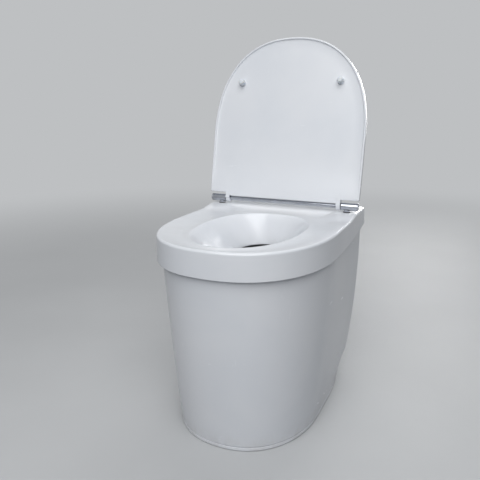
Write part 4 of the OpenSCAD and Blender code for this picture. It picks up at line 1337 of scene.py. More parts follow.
        reach = np.minimum(blend(*self.crest_reach, frontness), 0.8 * width)
        toe = blend(*self.toe_share, frontness) * width
        rows = []
        for t in np.linspace(0, 1, self.bowl_rows + 1):
            a, b, c = (1 - t) ** 3, 3 * (1 - t) ** 2 * t, 3 * (1 - t) * t * t
            r = a * width + b * (width - reach) + c * toe
            z = (a + b) * crest_z + c * blend(rim_z, crest_z, self.toe_rise) + t**3 * rim_z
            p = hole + way * r[:, None]
            pull = np.exp(-(p[:, 0] / self.funnel_spread[0]) ** 2
                          - ((p[:, 1] - self.drain_y) / self.funnel_spread[1]) ** 2)
            rows.append((r, blend(z, self.height - self.funnel_drop, pull)))
        under = []
        for (r0, z0), (r, z), (r1, z1) in zip(rows, rows[1:], rows[2:]):
            dr, dz = r1 - r0, z1 - z0
            size = np.hypot(dr, dz)
            under.append(along(r - self.wall * dz / size, z + self.wall * dr / size))
        outer = self.plan(0)
        path = [(at_height(outer, self.skirt_low(outer[:, 1])), 1.3)]
        for share in (0.2, 0.4, 0.6, 0.8):
            p = self.plan(self.lean * share)
            path.append((at_height(p, blend(self.skirt_low(p[:, 1]), self.level(p[:, 1]) - self.edge, share)), 0))
        for side, down in quarter(8):
            p = self.plan(self.lean + self.edge * side)
            path.append((at_height(p, self.level(p[:, 1]) - self.edge * down), 0))
        path += [(surface(rim, s, 0), 0) for s in np.linspace(0, 1, self.seat_rows + 1)[1:]]
        path += [(along(r, z), 0) for r, z in rows[1:-1]]
        lip_z = hole_z - self.lip[0]
        path += [(along(0, rim_z), 1.6), (along(0, lip_z), 1.0), (along(self.lip[1], lip_z), 1.0),
                 (along(self.lip[1], rim_z - self.wall), 1.0)]
        path += [(ring, 0) for ring in under[::-1]]
        path += [(surface(inner, s, self.wall), 0) for s in np.linspace(1, 0, self.seat_rows + 1)]
        inside = self.plan(self.wall)
        return path + [(at_height(inner, self.ledge_z), 0.6), (at_height(inside, self.ledge_z), 0.6),
                       (at_height(inside, self.skirt_low(inside[:, 1])), 1.3)]

    def moulding(self) -> None:
        """Builds the one-piece seat with its bosses and bores."""
        thing = Shape().swept(self.path()).made("seat_and_bowl", self.crease)
        bosses, cuts = Shape(), Shape()
        drain_top = self.height - self.funnel_drop + 4.0
        places = [(side * LAYOUT.hinge_x, LAYOUT.hinge_y, self.height + self.deck_rise - 12) for side in (-1, 1)]
        for radius, place in [(13, places[0]), (13, places[1]), (17, (0, self.drain_y, drain_top - 10))]:
            bosses.lathe([(0, 0, 0), (radius, 0, 0.8), (radius, 11, 0), (0, 11, 0)], Axis.Z, place, 48, 3)
        carved(thing, bosses, "UNION", self.crease)
        for place in places:
            cuts.cylinder(4.3, -1, 14, Axis.Z, place, 32)
        cuts.turned([(0, -11), (11.3, -11), (11.3, -1.5), (15.3, -1.5), (15.3, 6), (0, 6)], Axis.Z,
                    (0, self.drain_y, drain_top), 64)
        carved(thing, cuts, crease=self.crease)
        self.dresser.dress(thing, Body.SEAT, Slot.SHELL, "seat_top")

    def chute(self) -> None:
        """Builds the sleeve that lines the hole's lip and dips into the bucket; its dark plastic is painted shade that
        makes the view down the hole dark.
        """
        half, length, sides = self.hole[0] / 2, self.hole[2], 144
        c, s = circle(sides)
        lip_z, top, low, edge_z = 351.7, 359.0, 292.0, 364.2
        corners = [(-2.5, low, 0.9), (5.8, lip_z - 4, 2.0), (5.8, top, 0.8), (3.3, top, 0.8), (3.3, lip_z, 0.4),
                   (-0.3, lip_z, 0.3), (-0.3, edge_z, 0.3), (-1.5, edge_z, 0.5), (-1.5, lip_z - 4, 2.0),
                   (-5, low, 0.9)]
        path = [(np.column_stack([(half + grow) * c, self.hole[1] + (length + grow) * s, np.full(sides, z)]), reach)
                for grow, z, reach in corners]
        # Dark plastic on the sleeve is painted shade: it stands for the shadow seen down the hole.
        self.dresser.dress(Shape().swept(path).made("drop_sleeve_painted_shade"), Body.SEAT, Slot.DARK, "drop_chute")


# ---------------------------------------------------------------- hinges and lid


@dataclass
class Hinges:
    """Posts, barrels, bushes, caps and clamping of both hinges."""

    dresser: Dresser
    y: float = LAYOUT.hinge_y
    z: float = LAYOUT.hinge_z
    deck: float = 446.0
    post_x: float = LAYOUT.hinge_x
    barrel_x: float = 150.5
    length: float = 38.0
    radius: float = 9.0
    barrel_wall: float = 1.5
    bush_r: float = 7.4
    post_r: float = 6.5
    post_sides: int = 56

    def build(self) -> None:
        """Builds each side's pieces and the shared groups."""
        for node, shape, slot in (("hinge_post", self.post(), Slot.CHROME),
                                  ("hinge_barrel", self.barrel(), Slot.CHROME),
                                  ("hinge_bush", self.bush(), Slot.DARK), ("barrel_cap", self.cap(), Slot.CHROME)):
            for side, half in (("right", shape), ("left", shape.mirrored())):
                self.dresser.dress(half.made(f"{node}_{side}_turned"), Body.SEAT, slot, f"{node}_{side}")
        for name, shape, slot, node in (("deck_washers", self.washer(), Slot.RUBBER, "hinge_washers"),
                                        ("wing_nuts", self.nut(), Slot.GREY, "hinge_nuts")):
            self.dresser.dress(shape.take(shape.mirrored()).made(name), Body.SEAT, slot, node)

    def barrel(self) -> Shape:
        """Shapes the plated tube that holds the rod's pin.

        Returns:
            The barrel's shape.
        """
        inner = self.radius - self.barrel_wall
        return Shape().lathe([(inner, 0, 0.3), (self.radius, 0, 1.0), (self.radius, self.length, 0.25),
                              (inner, self.length, 0.25)], Axis.X, (self.barrel_x, self.y, self.z), 72, 5, True)

    def cap(self) -> Shape:
        """Plated plug that closes the barrel's outer end."""
        return Shape().lathe([(0, -4, 0), (self.bush_r, -4, 0.4), (self.bush_r, 0, 0.1), (9, 0, 0.25), (9, 2, 1.2),
                              (0, 2, 0)], Axis.X, (self.barrel_x + self.length, self.y, self.z), 72, 5)

    def bush(self) -> Shape:
        """Plain bearing inside the barrel."""
        return Shape().lathe([(3.55, 0, 0.3), (self.bush_r, 0, 0.4), (self.bush_r, 28, 0.4), (3.55, 28, 0.3)],
                             Axis.X, (self.barrel_x + 0.5, self.y, self.z), 48, 3, True)

    def washer(self) -> Shape:
        """Soft washer between the post and the deck."""
        return Shape().lathe([(4.3, 0, 0.3), (8.5, 0, 0.5), (8.5, 1.5, 0.5), (4.3, 1.5, 0.3)], Axis.Z,
                             (self.post_x, self.y, self.deck), 48, 3, True)

    def nut(self) -> Shape:
        """Shapes the winged nut below the deck.

        Returns:
            The nut's shape.
        """
        low = self.deck - 12 - 8
        shape = Shape().lathe([(4.05, 0, 0.4), (9, 0, 1.0), (9, 8, 0.6), (4.05, 8, 0.4)], Axis.Z,
                              (self.post_x, self.y, low), 48, 3, True)
        for side in (-1, 1):
            shape.block(2.6, 2.0, -4, 4, Axis.Z, (self.post_x + side * 9.4, self.y, low), 1.9, 0.8)
        return shape

    def post(self) -> Shape:
        """Shapes the foot with a threaded stud below it and a saddle under the barrel.

        Returns:
            The post's shape.
        """
        corners, h = [(0, -40, 0), (3.2, -40, 0.4), (4, -39, 0.3)], -38.4
        while h < -16:
            corners += [(4, h, 0), (3.5, h + 0.6, 0), (4, h + 1.2, 0)]
            h += 1.25
        corners += [(4, -14, 0), (4, 0, 0), (self.post_r, 0, 0.5), (self.post_r, 1.6, 0)]
        stud = Shape().lathe(corners, Axis.Z, (self.post_x, self.y, self.deck + 1.5), self.post_sides, 3)
        x, y = (self.post_r * v for v in circle(self.post_sides))

        def ring(share: float, rise: float = 1.0) -> Points:
            """Ring with a share of the post's radius, a share of the way up to the barrel."""
            saddle = self.z - np.sqrt((self.radius - 0.6) ** 2 - (share * y) ** 2)
            return np.column_stack([self.post_x + share * x, self.y + share * y, blend(self.deck + 3.1, saddle, rise)])
        rings = [ring(1.0, rise) for rise in (0.0, 0.4, 0.8, 1.0)] + [ring(share) for share in (0.3, 0.0)]
        return stud.take(Shape().loft(rings))


@dataclass
class Lid:
    """The plate that shuts on the seat, with its lugs, buffers and the rod it turns on."""

    dresser: Dresser
    width: float = 387.0
    length: float = 379.0
    depth: float = 16.0
    recess: float = 4.0
    step: float = 2.0
    run_out: float = 70.0
    rim: float = 5.0
    chamfer: float = 1.0
    edge: float = 7.0
    dish: float = 22.0
    nose: float = 235.0
    power: float = 2.31
    angle: float = 101.3
    axis_y: float = LAYOUT.hinge_y
    axis_z: float = LAYOUT.hinge_z
    gap: float = 11.0
    notch: float = 14.4
    strip: float = 5.9
    root: float = 8.0
    lug_x: float = 139.0
    lug_w: float = 10.0
    lug_r: float = 9.5
    rod_r: float = 5.0
    pin_r: float = 3.5
    rod_half: float = 149.0
    pin_end: float = 177.0
    buffer_place: tuple[float, float] = (125.0, 289.0)
    buffer_r: float = 8.0
    buffer_tip: float = 436.9

    @property
    def low(self) -> float:
        """Height of the rim's face on the closed lid."""
        return self.axis_z - self.gap

    @property
    def rear(self) -> float:
        """Where the plate's rear edge is on the closed lid."""
        return self.axis_y - self.notch

    def opened(self, shape: Shape) -> Shape:
        """Turns the closed lid's pieces up to where they rest open.

        Args:
            shape: Shape of a piece on the closed lid.

        Returns:
            The same shape, turned.
        """
        there = Matrix.Translation((0, self.axis_y, self.axis_z))
        back = Matrix.Translation((0, -self.axis_y, -self.axis_z))
        return shape.moved(there @ Matrix.Rotation(math.radians(-self.angle), 4, "X") @ back)

    def ring(self, inset: float, z: float) -> Points:
        """Outline of the closed lid.

        Args:
            inset: Distance by which the outline is moved in.
            z: Height.

        Returns:
            The outline's points at that height.
        """
        front = self.length - self.rear
        plan = Outline(self.width / 2 - inset, self.width / 2 - 0.5 - inset, front - inset, self.rear - inset,
                       max(1.0, 3.0 - inset), straight=self.nose - front, power=self.power).points()
        return at_height(plan, z)

    def hollow(self, inset: float, deep: float) -> Points:
        """Ring of the hollow inner face, which runs out flat towards the rear edge.

        Args:
            inset: Distance by which the outline is moved in.
            deep: Depth of the hollow below the rim's face.

        Returns:
            The ring's points.
        """
        ring = self.ring(inset, self.low)
        ring[:, 2] += deep * eased((self.rear - 4.0 - ring[:, 1]) / self.run_out)
        return ring

    def build(self) -> None:
        """Builds and dresses the lid, its buffers and its rod."""
        self.plate()
        self.buffers()
        rod = Shape().lathe([(0, -self.pin_end, 0), (self.pin_r, -self.pin_end, 0.8), (self.pin_r, -self.rod_half, 0.3),
                             (self.rod_r, -self.rod_half, 0.6), (self.rod_r, self.rod_half, 0.6),
                             (self.pin_r, self.rod_half, 0.3), (self.pin_r, self.pin_end, 0.8), (0, self.pin_end, 0)],
                            Axis.X, (0, self.axis_y, self.axis_z), 64, 3)
        self.dresser.dress(rod.made("hinge_rod_plated"), Body.LID, Slot.CHROME, "hinge_rod")

    def plate(self) -> None:
        """Builds the plate with its recess, the strip between the lugs and the lugs."""
        low, top = self.low, self.low + self.depth
        path = [(self.hollow(inset, self.recess), 0) for inset in (118, 95, 75, 58, 42)]
        for a in np.radians(np.linspace(90, 0, 15)):
            inset = self.rim + self.dish * (1 - math.cos(a))
            deep = self.step + (self.recess - self.step) * math.sin(a)
            path.append((self.hollow(inset, deep), 0 if a > 0 else 0.8))
        path += [(self.ring(self.rim - 1.2, low), 0.8), (self.ring(self.chamfer, low), 0.8),
                 (self.ring(0, low + self.chamfer), 0.6)]
        path += [(self.ring(self.edge * side, top - self.edge * down), 0) for side, down in quarter(10)]
        path.append((self.ring(self.edge + 14, top), 0))
        shape = Shape().swept(path, closed=False)
        bottom, above, half_lug = low - 0.05, top - 2 * self.chamfer, self.lug_w / 2

        def bar(end: float, x: float, half: float) -> None:
            """Bar that stands out behind the rear edge by its end."""
            shape.block((end + self.root) / 2, (above - bottom) / 2, -half, half, Axis.X,
                        (x, self.rear + (end - self.root) / 2, (above + bottom) / 2), 1.2, 0.6)
        bar(self.notch - self.strip, 0, self.lug_x + 2)
        for side in (-1, 1):
            x = side * (self.lug_x + half_lug)
            bar(self.notch, x, half_lug)
            shape.lathe([(0, -half_lug, 0), (self.lug_r, -half_lug, 0.9), (self.lug_r, half_lug, 0.9),
                         (0, half_lug, 0)], Axis.X, (x, self.axis_y, self.axis_z))
        self.dresser.dress(self.opened(shape).made("lid_plate"), Body.LID, Slot.SHELL, "lid")

    def buffers(self) -> None:
        """Builds the two soft pegs with rounded tips on the lid's inner face."""
        tall, r, shape = self.low + self.recess - self.buffer_tip, self.buffer_r, Shape()
        x, back = self.buffer_place
        for side in (-1, 1):
            shape.lathe([(0, 0, 0), (5.2, 0, 3.0), (r - 0.9, 3.2, 2.2), (r - 0.4, tall - 2.6, 0.6),
                         (r, tall - 2.0, 0.4), (r, tall, 0), (0, tall, 0)], Axis.Z,
                        (side * x, self.axis_y - back, self.buffer_tip), 48, 5)
        self.dresser.dress(self.opened(shape).made("soft_buffers"), Body.LID, Slot.SILICONE, "lid_buffers")


# ---------------------------------------------------------------- containers


@dataclass(frozen=True)
class CanisterForm:
    """Plan of the canister."""

    width: float = 236.0
    front: float = 196.0
    rear: float = 92.0
    corner: float = 12.0
    power: float = 2.4
    foot_round: float = 4.0
    shoulder: tuple[float, float] = (12.0, 14.0)
    ends: tuple[float, float] = (16.0, 26.0)

    def plan(self, inset: float) -> Points:
        """Outline of the canister.

        Args:
            inset: Distance by which the outline is moved in.

        Returns:
            The plan points.
        """
        half, front, rear, r = self.width / 2 - inset, self.front - inset, self.rear + inset, self.corner
        depth = front - rear - r
        a = np.radians(np.linspace(0, 180, 97))
        nose = np.column_stack([-half * signed_power(np.cos(a), 2 / self.power),
                                -rear - r - depth * np.abs(np.sin(a)) ** (2 / self.power)])
        b = np.radians(np.linspace(0, 90, 9)[1:])
        right = np.column_stack([half - r + r * np.cos(b), -rear - r + r * np.sin(b)])
        x = np.linspace(half - r, r - half, 26)[1:-1]
        back = np.column_stack([x, np.full(len(x), -rear)])
        return np.vstack([nose, right, back, right[::-1] * np.array([-1.0, 1.0])])

    def solid(self, inset: float, low: float, high: float) -> Shape:
        """Closed body with round edges.

        Args:
            inset: Distance by which the outline is moved in.
            low: Height of its underside.
            high: Height of its top.

        Returns:
            The body's shape.
        """
        foot, (side, drop), (low_end, high_end) = self.foot_round, self.shoulder, self.ends
        path = [at_height(self.plan(inset + low_end), low)]
        path += [at_height(self.plan(inset + foot * x), low + foot * z) for x, z in quarter(6, back=True)]
        path += [at_height(self.plan(inset), z) for z in np.linspace(low + foot, high - drop, 12)[1:-1]]
        path += [at_height(self.plan(inset + side * x), high - drop * z) for x, z in quarter(8)]
        path.append(at_height(self.plan(inset + high_end), high))
        return Shape().loft(path, ends=True)


@dataclass
class Containers:
    """The solids bucket and the urine canister with its splash collar."""

    dresser: Dresser
    plate: float = LAYOUT.plate
    bucket_y: float = LAYOUT.bucket_y
    bucket_h: float = 292.0
    foot_r: float = 104.0
    top_r: float = 126.0
    reach: float = 4.0
    wall: float = 2.5
    grip_half_angle: float = 20.0
    neck: tuple[float, float, float] = (25.0, LAYOUT.drain_y, 16.0)
    shoulder_z: float = 256.0

    def build(self) -> None:
        """Builds and dresses the containers."""
        self.bucket()
        self.canister()
        collar = Shape().lathe([(25.05, 0, 0.4), (28, 0, 0.8), (28, 16, 2.5), (36, 34, 0.7), (33.5, 34, 0.7),
                                (22.5, 14.45, 1.0), (22.5, 14.05, 0), (25.05, 14.05, 0)], Axis.Z,
                               (0, self.neck[1], self.shoulder_z + 2), 96, 4, True)
        self.dresser.dress(collar.made("splash_collar"), Body.CANISTER, Slot.GREY, "canister_collar")

    def wall_r(self, z: float) -> float:
        """Radius of the bucket's outside at a height above its foot."""
        return blend(self.foot_r, self.top_r, z / (self.bucket_h - 8.0))

    def bucket(self) -> None:
        """Builds the round bucket with its rolled rim and two grips."""
        h, top, foot, wall_r = self.bucket_h, self.top_r, self.foot_r, self.wall_r
        corners = [(0, 1, 0), (foot - 14, 1, 0.8), (foot - 12.5, 0, 0.5), (foot, 0, 3.0)]
        for z in (60.0, 200.0):
            corners += [(wall_r(z), z, 0.6), (wall_r(z) - 0.7, z + 1.2, 0.6), (wall_r(z + 5) - 0.7, z + 3.8, 0.6),
                        (wall_r(z + 5), z + 5, 0.6)]
        corners += [(top, h - 8, 0.8), (top + self.reach, h - 8, 1.0), (top + self.reach, h, 1.6),
                    (top - self.wall, h, 1.4), (wall_r(40) - self.wall, 40, 0), (foot - self.wall, 3.5, 8.0),
                    (0, 3.5, 0)]
        shape = Shape().lathe(corners, Axis.Z, (0, self.bucket_y, self.plate), 144)
        grip = [(3, -8, 0.4), (5, -8, 0.5), (5, -2.5, 1.2), (19.5, -2.5, 1.2), (19.5, -8, 0.8), (22, -8, 0.8),
                (22, 0, 1.6), (3, 0, 0.4)]
        r, z = np.array(soften([((top + out, h + up), reach) for out, up, reach in grip], 3, closed=True)).T
        sweep = np.radians(np.linspace(-self.grip_half_angle, self.grip_half_angle, 25))
        for side in (0.0, math.pi):
            shape.loft([np.column_stack([r * math.cos(a), self.bucket_y + r * math.sin(a), self.plate + z])
                        for a in sweep + side], ends=True)
        self.dresser.dress(shape.made("solids_bucket"), Body.BUCKET, Slot.BUCKET, "bucket")

    def canister(self) -> None:
        """Builds the low canister with a round shoulder and a neck."""
        form, low, top = CanisterForm(), self.plate, self.shoulder_z
        r, y, tall = self.neck
        thing = form.solid(0, low, top).made("urine_canister")
        carved(thing, Shape().lathe([(0, -1, 0), (r, -1, 0), (r, tall, 0.8), (0, tall, 0)], Axis.Z, (0, y, top), 72, 3),
               "UNION")
        carved(thing, form.solid(self.wall, low + self.wall, top - self.wall))
        carved(thing, Shape().cylinder(r - self.wall, -4, tall + 1, Axis.Z, (0, y, top), 72))
        self.dresser.dress(thing, Body.CANISTER, Slot.CANISTER, "canister")


# ---------------------------------------------------------------- ventilation and power


@dataclass
class Ventilation:
    """Duct, gasket, fan, screws and finger grille on the rear wall."""

    dresser: Dresser
    z: float = LAYOUT.fan_z
    wall_y: float = 215.0
    back: float = 210.0
    front: float = 185.0
    half: float = 40.0
    waist_r: float = 39.7
    flange_half: float = 44.0
    flange_corner: float = 5.0
    bore: float = 38.0
    pitch: float = 35.75
    blades: int = 7
    blade_span: tuple[float, float] = (15.6, 36.4)
    blade_chord: tuple[float, float] = (6.6, 8.2)
    blade_pitch: tuple[float, float] = (44.0, 28.0)
    blade_bow: float = 1.3
    blade_half: float = 0.75
    blade_sweep: float = 0.16
    blade_limit: float = 5.5
    wheel_depth: float = 13.0

    def centre(self, y: float) -> tuple[float, float, float]:
        """Point on the fan's axis."""
        return (0.0, y, self.z)

    def corners(self, y: float) -> list[tuple[float, float, float]]:
        """Places of the four screws at a depth."""
        return [(sx * self.pitch, y, self.z + sz * self.pitch) for sx in (-1, 1) for sz in (-1, 1)]

    def build(self) -> None:
        """Builds and dresses every piece of the ventilation."""
        half, corner = self.flange_half, self.flange_corner
        duct = Shape().lathe([(35, 0, 0.5), (38.5, 0, 0), (38.5, 8, 0.5), (37.5, 8.3, 0.2), (37.5, 46.5, 0.8),
                              (36.9, 48, 0.4), (35, 48, 0.8)], Axis.Y, self.centre(self.back), 96, 4, True)
        duct.holed_plate(half, half, corner, 36.0, 0, 3, Axis.Y, self.centre(self.back))
        self.dresser.dress(duct.made("vent_spigot"), Body.STAND, Slot.SHELL, "vent_duct")
        gasket = Shape().holed_plate(half, half, corner, 38.8, 0, 2, Axis.Y, self.centre(self.wall_y - 2))
        self.dresser.dress(gasket.made("spigot_gasket"), Body.STAND, Slot.RUBBER, "vent_gasket")
        self.frame()
        self.impeller()
        thing = screws("fan_long_screws", self.corners(self.front - 4.5), Axis.Y, 36.7, 3.5, (2.0, 1.3))
        self.dresser.dress(thing, Body.STAND, Slot.STEEL, "fan_screws")
        self.grille()

    def frame(self) -> None:
        """Builds the fan's frame with its waist, spider, motor and axle."""
        outside = rectangle_by_angle(self.half, self.half, 4.0, 144)
        waist, hole = (tuple(r * v for v in circle(144)) for r in (self.waist_r, self.bore))
        rings = [(outside, 0, 0.5), (outside, 4, 0.5), (waist, 4, 0.3), (waist, 21, 0.3), (outside, 21, 0.5),
                 (outside, 25, 0.5), (hole, 25, 0.8), (hole, 0, 1.5)]
        shape = Shape().swept([(Axis.Y.place(*uv, h, self.centre(self.front)), reach) for uv, h, reach in rings], 3)
        shape.lathe([(0, -8, 0), (15, -8, 1.2), (15, -0.5, 0.6), (0, -0.5, 0)], Axis.Y, self.centre(self.back), 64, 3)
        shape.lathe([(0, 4, 0), (2, 4, 0.4), (2, 18, 0), (0, 18, 0)], Axis.Y, self.centre(self.front), 24, 2)
        for k in range(4):
            arm = Shape().block(1.5, 2.0, 14.0, self.bore + 0.5, Axis.X, (0, self.back - 2.5, 0), 0.8, 0.4)
            turn = Matrix.Rotation(math.radians(45 + 90 * k), 4, "Y")
            shape.take(arm.moved(Matrix.Translation((0, 0, self.z)) @ turn))
        self.dresser.dress(shape.made("fan_housing"), Body.STAND, Slot.DARK, "fan_frame")

    def blade(self) -> Shape:
        """Shapes the blade that stands straight up; it is curved and twists towards its tip.

        Returns:
            The blade's shape.
        """
        s, rings, (root, tip) = np.linspace(-1, 1, 9), [], self.blade_span
        bow, thick = self.blade_bow * (1 - s**2), self.blade_half * np.sqrt(np.maximum(0.04, 1 - s**2 * 0.96))
        lift = np.concatenate([bow + thick, (bow - thick)[::-1]])
        for r in np.linspace(root, tip, 9):
            share = (r - root) / (tip - root)
            half_chord, pitch = blend(*self.blade_chord, share), math.radians(blend(*self.blade_pitch, share))
            across = np.concatenate([s, s[::-1]]) * half_chord
            tangent = across * math.cos(pitch) + lift * math.sin(pitch)
            depth = np.clip(-across * math.sin(pitch) + lift * math.cos(pitch), -self.blade_limit, self.blade_limit)
            a = tangent / r + self.blade_sweep * share
            rings.append(np.column_stack([r * np.sin(a), self.front + 2 + self.wheel_depth / 2 + depth,
                                          self.z + r * np.cos(a)]))
        return Shape().loft(rings, ends=True)

    def impeller(self) -> None:
        """Builds the hub and its blades."""
        length = self.wheel_depth
        shape = Shape().lathe([(2.1, 0.6, 0.3), (4.5, 0, 0.8), (16, 0, 2.0), (16, length, 0.4), (14.2, length, 0.4),
                               (14.2, 2.2, 0.8), (2.1, 2.2, 0.2)], Axis.Y, self.centre(self.front + 2), 64, 4, True)
        for k in range(self.blades):
            turn = (Matrix.Translation((0, 0, self.z)) @ Matrix.Rotation(2 * math.pi * k / self.blades, 4, "Y")
                    @ Matrix.Translation((0, 0, -self.z)))
            shape.take(self.blade().moved(turn))
        self.dresser.dress(shape.made("fan_wheel"), Body.IMPELLER, Slot.DARK, "fan_impeller")

    def grille(self) -> None:
        """Builds the finger guard of round wire."""
        shape, y = Shape(), self.front - 1.0
        spacing, wire_across, wire_deep = 7.4, 0.82, 0.9
        turns = np.radians(np.linspace(0, 360, 12, endpoint=False))
        for r in np.arange(spacing, 5 * spacing + 0.1, spacing):
            profile = [(r - 0.8 + wire_across * math.cos(t), wire_deep * math.sin(t)) for t in turns]
            shape.turned(profile, Axis.Y, self.centre(y), 96, closed=True)
        reach = self.pitch * math.sqrt(2) - 3.0
        for a in (45, 135):
            d = np.array([math.cos(math.radians(a)), 0, math.sin(math.radians(a))]) * reach
            shape.tube(np.array([np.array(self.centre(y)) - d, np.array(self.centre(y)) + d]), 0.8, 12)
        for place in self.corners(y):
            shape.lathe([(2.2, -1, 0.7), (4, -1, 0.7), (4, 1, 0.7), (2.2, 1, 0.7)], Axis.Y, place, 32, 3, True)
        self.dresser.dress(shape.made("finger_guard"), Body.STAND, Slot.STEEL, "fan_grille")


@dataclass
class Power:
    """Inlet socket with its nut, and the lead that runs from it to the fan."""

    dresser: Dresser
    x: float = LAYOUT.inlet[0]
    z: float = LAYOUT.inlet[1]
    rear: float = LAYOUT.rear
    lead_y: float = 211.5
    lead_end_z: float = 327.0
    lead_r: float = 1.95
    clip_shares: tuple[float, ...] = (0.257, 0.52, 0.785)

    def build(self) -> None:
        """Builds and dresses the socket, its pin and nut, the lead and its clips."""
        centre, dress = (self.x, self.rear, self.z), self.dresser.dress
        socket = Shape().lathe([(0, -16, 0), (5.5, -16, 0.6), (5.5, 0, 0.2), (8, 0, 0.3), (8, 1.5, 0.8),
                                (4.6, 1.5, 0.5), (4.6, -3.5, 0.3), (2.8, -3.5, 0.4), (2.8, -13, 0.3), (0, -13, 0)],
                               Axis.Y, centre)
        dress(socket.made("power_inlet_body"), Body.STAND, Slot.DARK, "inlet_socket")
        pin = Shape().lathe([(0, -13.5, 0), (1, -13.5, 0), (1, -3.9, 0.5), (0, -3.4, 0)], Axis.Y, centre, 24, 3)
        dress(pin.made("power_inlet_pin"), Body.STAND, Slot.CHROME)
        nut = Shape().lathe([(5.55, 0, 0.3), (6.6, 0, 0.1), (7.5, 0.5, 0.1), (7.5, 2.5, 0.1), (6.6, 3, 0.1),
                             (5.55, 3, 0.3)], Axis.Y, (self.x, self.rear - 6, self.z), 6, 2, True)
        dress(nut.made("power_inlet_nut", 20.0), Body.STAND, Slot.STEEL, "inlet_nut")
        lead = Shape().tube(eased_route(self.route()), self.lead_r)
        dress(lead.made("fan_lead"), Body.STAND, Slot.LEAD, "fan_cable")
        clips = Shape()
        for share in self.clip_shares:
            z = blend(self.z, self.lead_end_z, share)
            clips.holed_plate(7.0, 3.5, 1.6, 2.3, -4, 4, Axis.Z, (self.x, self.lead_y, z), 64)
        dress(clips.made("lead_saddles"), Body.STAND, Slot.CLIP, "cable_clips")

    def route(self) -> Points:
        """Plans the lead's route: out of the socket, up the rear wall and into the fan's frame.

        Returns:
            The route's points.
        """
        x, z, y, start, end = self.x, self.z, self.lead_y, self.rear - 16, self.lead_end_z
        points = [(x, start, z), (x, start - 6, z), (x, start - 9, z + 6), (x, start - 7, z + 16), (x, y - 2, z + 28)]
        points += [(x, y, h) for h in np.arange(z + 40, end - 37 + 0.1, 12)]
        points += [(x - 3, y, end - 21.1), (x - 12, y, end - 10), (68, y - 1, end - 3), (54, y - 7, end),
                   (47, y - 9, end), (40, y - 9, end)]
        return np.array(points, float)


# ---------------------------------------------------------------- studio


@dataclass(frozen=True)
class Camera:
    """The photograph's point of view, in metres."""

    place: tuple[float, float, float] = (0.45594, -1.0711, 0.70791)
    right: tuple[float, float, float] = (0.9033, 0.4289, -0.00979)
    down: tuple[float, float, float] = (0.10161, -0.23604, -0.96642)
    ahead: tuple[float, float, float] = (-0.41681, 0.87197, -0.25679)
    lens: float = 39.716
    shift: tuple[float, float] = (0.0062, -0.0024)

    def build(self) -> None:
        """Makes the camera and sets it as the scene's."""
        data = bpy.data.cameras.new("studio_camera")
        data.lens, data.sensor_width = self.lens, 36.0
        data.shift_x, data.shift_y = self.shift
        data.clip_start, data.clip_end = 0.01, 60.0
        camera = bpy.data.objects.new("studio_camera", data)
        turn = Matrix([self.right, [-v for v in self.down], [-v for v in self.ahead]]).transposed()
        camera.matrix_world = Matrix.Translation(self.place) @ turn.to_4x4()
        bpy.context.scene.collection.objects.link(camera)
        bpy.context.scene.camera = camera


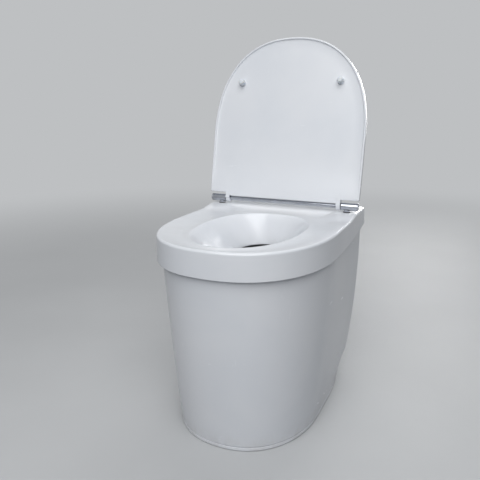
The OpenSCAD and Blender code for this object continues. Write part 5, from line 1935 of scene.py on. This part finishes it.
@dataclass(frozen=True)
class Studio:
    """Pale floor, soft lamps and an even surround."""

    floor_colour: tuple[int, int, int] = (190, 192, 194)
    floor_bounce: tuple[int, int, int] = (112, 114, 118)
    surround: tuple[int, int, int] = (190, 192, 194)
    fill: float = 0.15
    fill_colour: tuple[float, float, float, float] = (0.97, 0.985, 1.0, 1.0)
    aim: tuple[float, float, float] = (0.0, 0.0, 0.4)

    def build(self) -> None:
        """Makes the floor, the lamps and the world."""
        self.floor()
        self.world()
        self.lamp("key_lamp", (0.7, -2.3, 2.95), 3.6, 129.0)
        self.lamp("back_lamp", (-0.4, 2.3, 3.4), 3.0, 30.0)
        self.lamp("rear_lamp", (0.0, 3.4, 0.9), 1.0, 3.2, 50.0)

    def floor(self) -> None:
        """Wide plain floor with faint grain, which fades into the surround far from the object."""
        work = bmesh.new()
        bmesh.ops.create_grid(work, x_segments=14, y_segments=14, size=14.0)
        mesh = bpy.data.meshes.new("studio_floor")
        work.to_mesh(mesh)
        work.free()
        floor = bpy.data.objects.new("studio_floor", mesh)
        bpy.context.scene.collection.objects.link(floor)
        material = bpy.data.materials.new("plain_floor")
        material.use_nodes = True
        bench = Bench(material.node_tree)
        place = bench.add("ShaderNodeTexCoord").outputs["Object"]
        away = bench.add("ShaderNodeVectorMath", {0: place}, operation="LENGTH")
        fade = bench.ramp(away.outputs["Value"], 0.9, 3.4)
        seen = self.looked_at(bench)
        tone = bench.ramp(bench.noise(place, 3.0, 4.0), 0.3, 0.7)
        pale = bench.colours(tone, linear(*self.floor_colour), linear(*(v - 3 for v in self.floor_colour)))
        shader = bench.add("ShaderNodeBsdfPrincipled", {
            "Base Color": bench.colours(seen, linear(*self.floor_bounce), pale), "Roughness": 0.6})
        far = bench.add("ShaderNodeEmission", {"Color": linear(*self.surround)})
        mix = bench.add("ShaderNodeMixShader", {
            0: bench.maths("MULTIPLY", fade, seen), 1: shader.outputs[0], 2: far.outputs[0]})
        bench.add("ShaderNodeOutputMaterial", {"Surface": mix.outputs[0]})
        floor.data.materials.append(material)

    @staticmethod
    def looked_at(bench: Bench) -> Socket:
        """Tells what looks at a surface from light that falls on it.

        Args:
            bench: Bench that the nodes go on.

        Returns:
            1 for what looks straight, in a reflection or through glass, and 0 for light.
        """
        path = bench.add("ShaderNodeLightPath")
        seen = bench.maths("MAXIMUM", path.outputs["Is Camera Ray"], path.outputs["Is Glossy Ray"])
        return bench.maths("MAXIMUM", seen, path.outputs["Is Transmission Ray"])

    def world(self) -> None:
        """Even fill light, with a plain surround for what looks at it directly."""
        world = bpy.data.worlds.new("studio_surround")
        world.use_nodes = True
        bpy.context.scene.world = world
        bench = Bench(world.node_tree)
        light = bench.add("ShaderNodeBackground", {"Color": self.fill_colour, "Strength": self.fill})
        seen = bench.add("ShaderNodeBackground", {"Color": linear(*self.surround), "Strength": 1.0})
        mix = bench.add("ShaderNodeMixShader", {0: self.looked_at(bench), 1: light.outputs[0], 2: seen.outputs[0]})
        bench.add("ShaderNodeOutputWorld", {"Surface": mix.outputs[0]})

    def lamp(self, name: str, place: tuple[float, float, float], size: float, power: float,
             spread: float = 180.0) -> None:
        """Makes a square soft lamp that is turned to the middle of the object.

        Args:
            name: Name of the lamp.
            place: Where it is, in metres.
            size: Length of its side, in metres.
            power: Power in watts.
            spread: Angle of the cone that it lights, in degrees.
        """
        data = bpy.data.lights.new(name, "AREA")
        data.shape, data.size, data.energy = "SQUARE", size, power
        data.spread = math.radians(spread)
        lamp = bpy.data.objects.new(name, data)
        lamp.location = place
        lamp.visible_camera = False
        lamp.rotation_mode = "QUATERNION"
        lamp.rotation_quaternion = (Vector(self.aim) - Vector(place)).to_track_quat("-Z", "Y")
        bpy.context.scene.collection.objects.link(lamp)


def main() -> None:
    """Builds the studio and every sub-assembly, and reports each piece."""
    logging.basicConfig(level=logging.INFO, format="%(name)s %(message)s")
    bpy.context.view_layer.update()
    bpy.context.scene.view_settings.view_transform = "Standard"
    Camera().build()
    Studio().build()
    dresser = Dresser(finishes(Effects()))
    Pedestal(CasingForm(), dresser).build()
    SeatUnit(dresser).build()
    Hinges(dresser).build()
    Lid(dresser).build()
    Containers(dresser).build()
    Ventilation(dresser).build()
    Power(dresser).build()


if __name__ == "__main__":
    main()
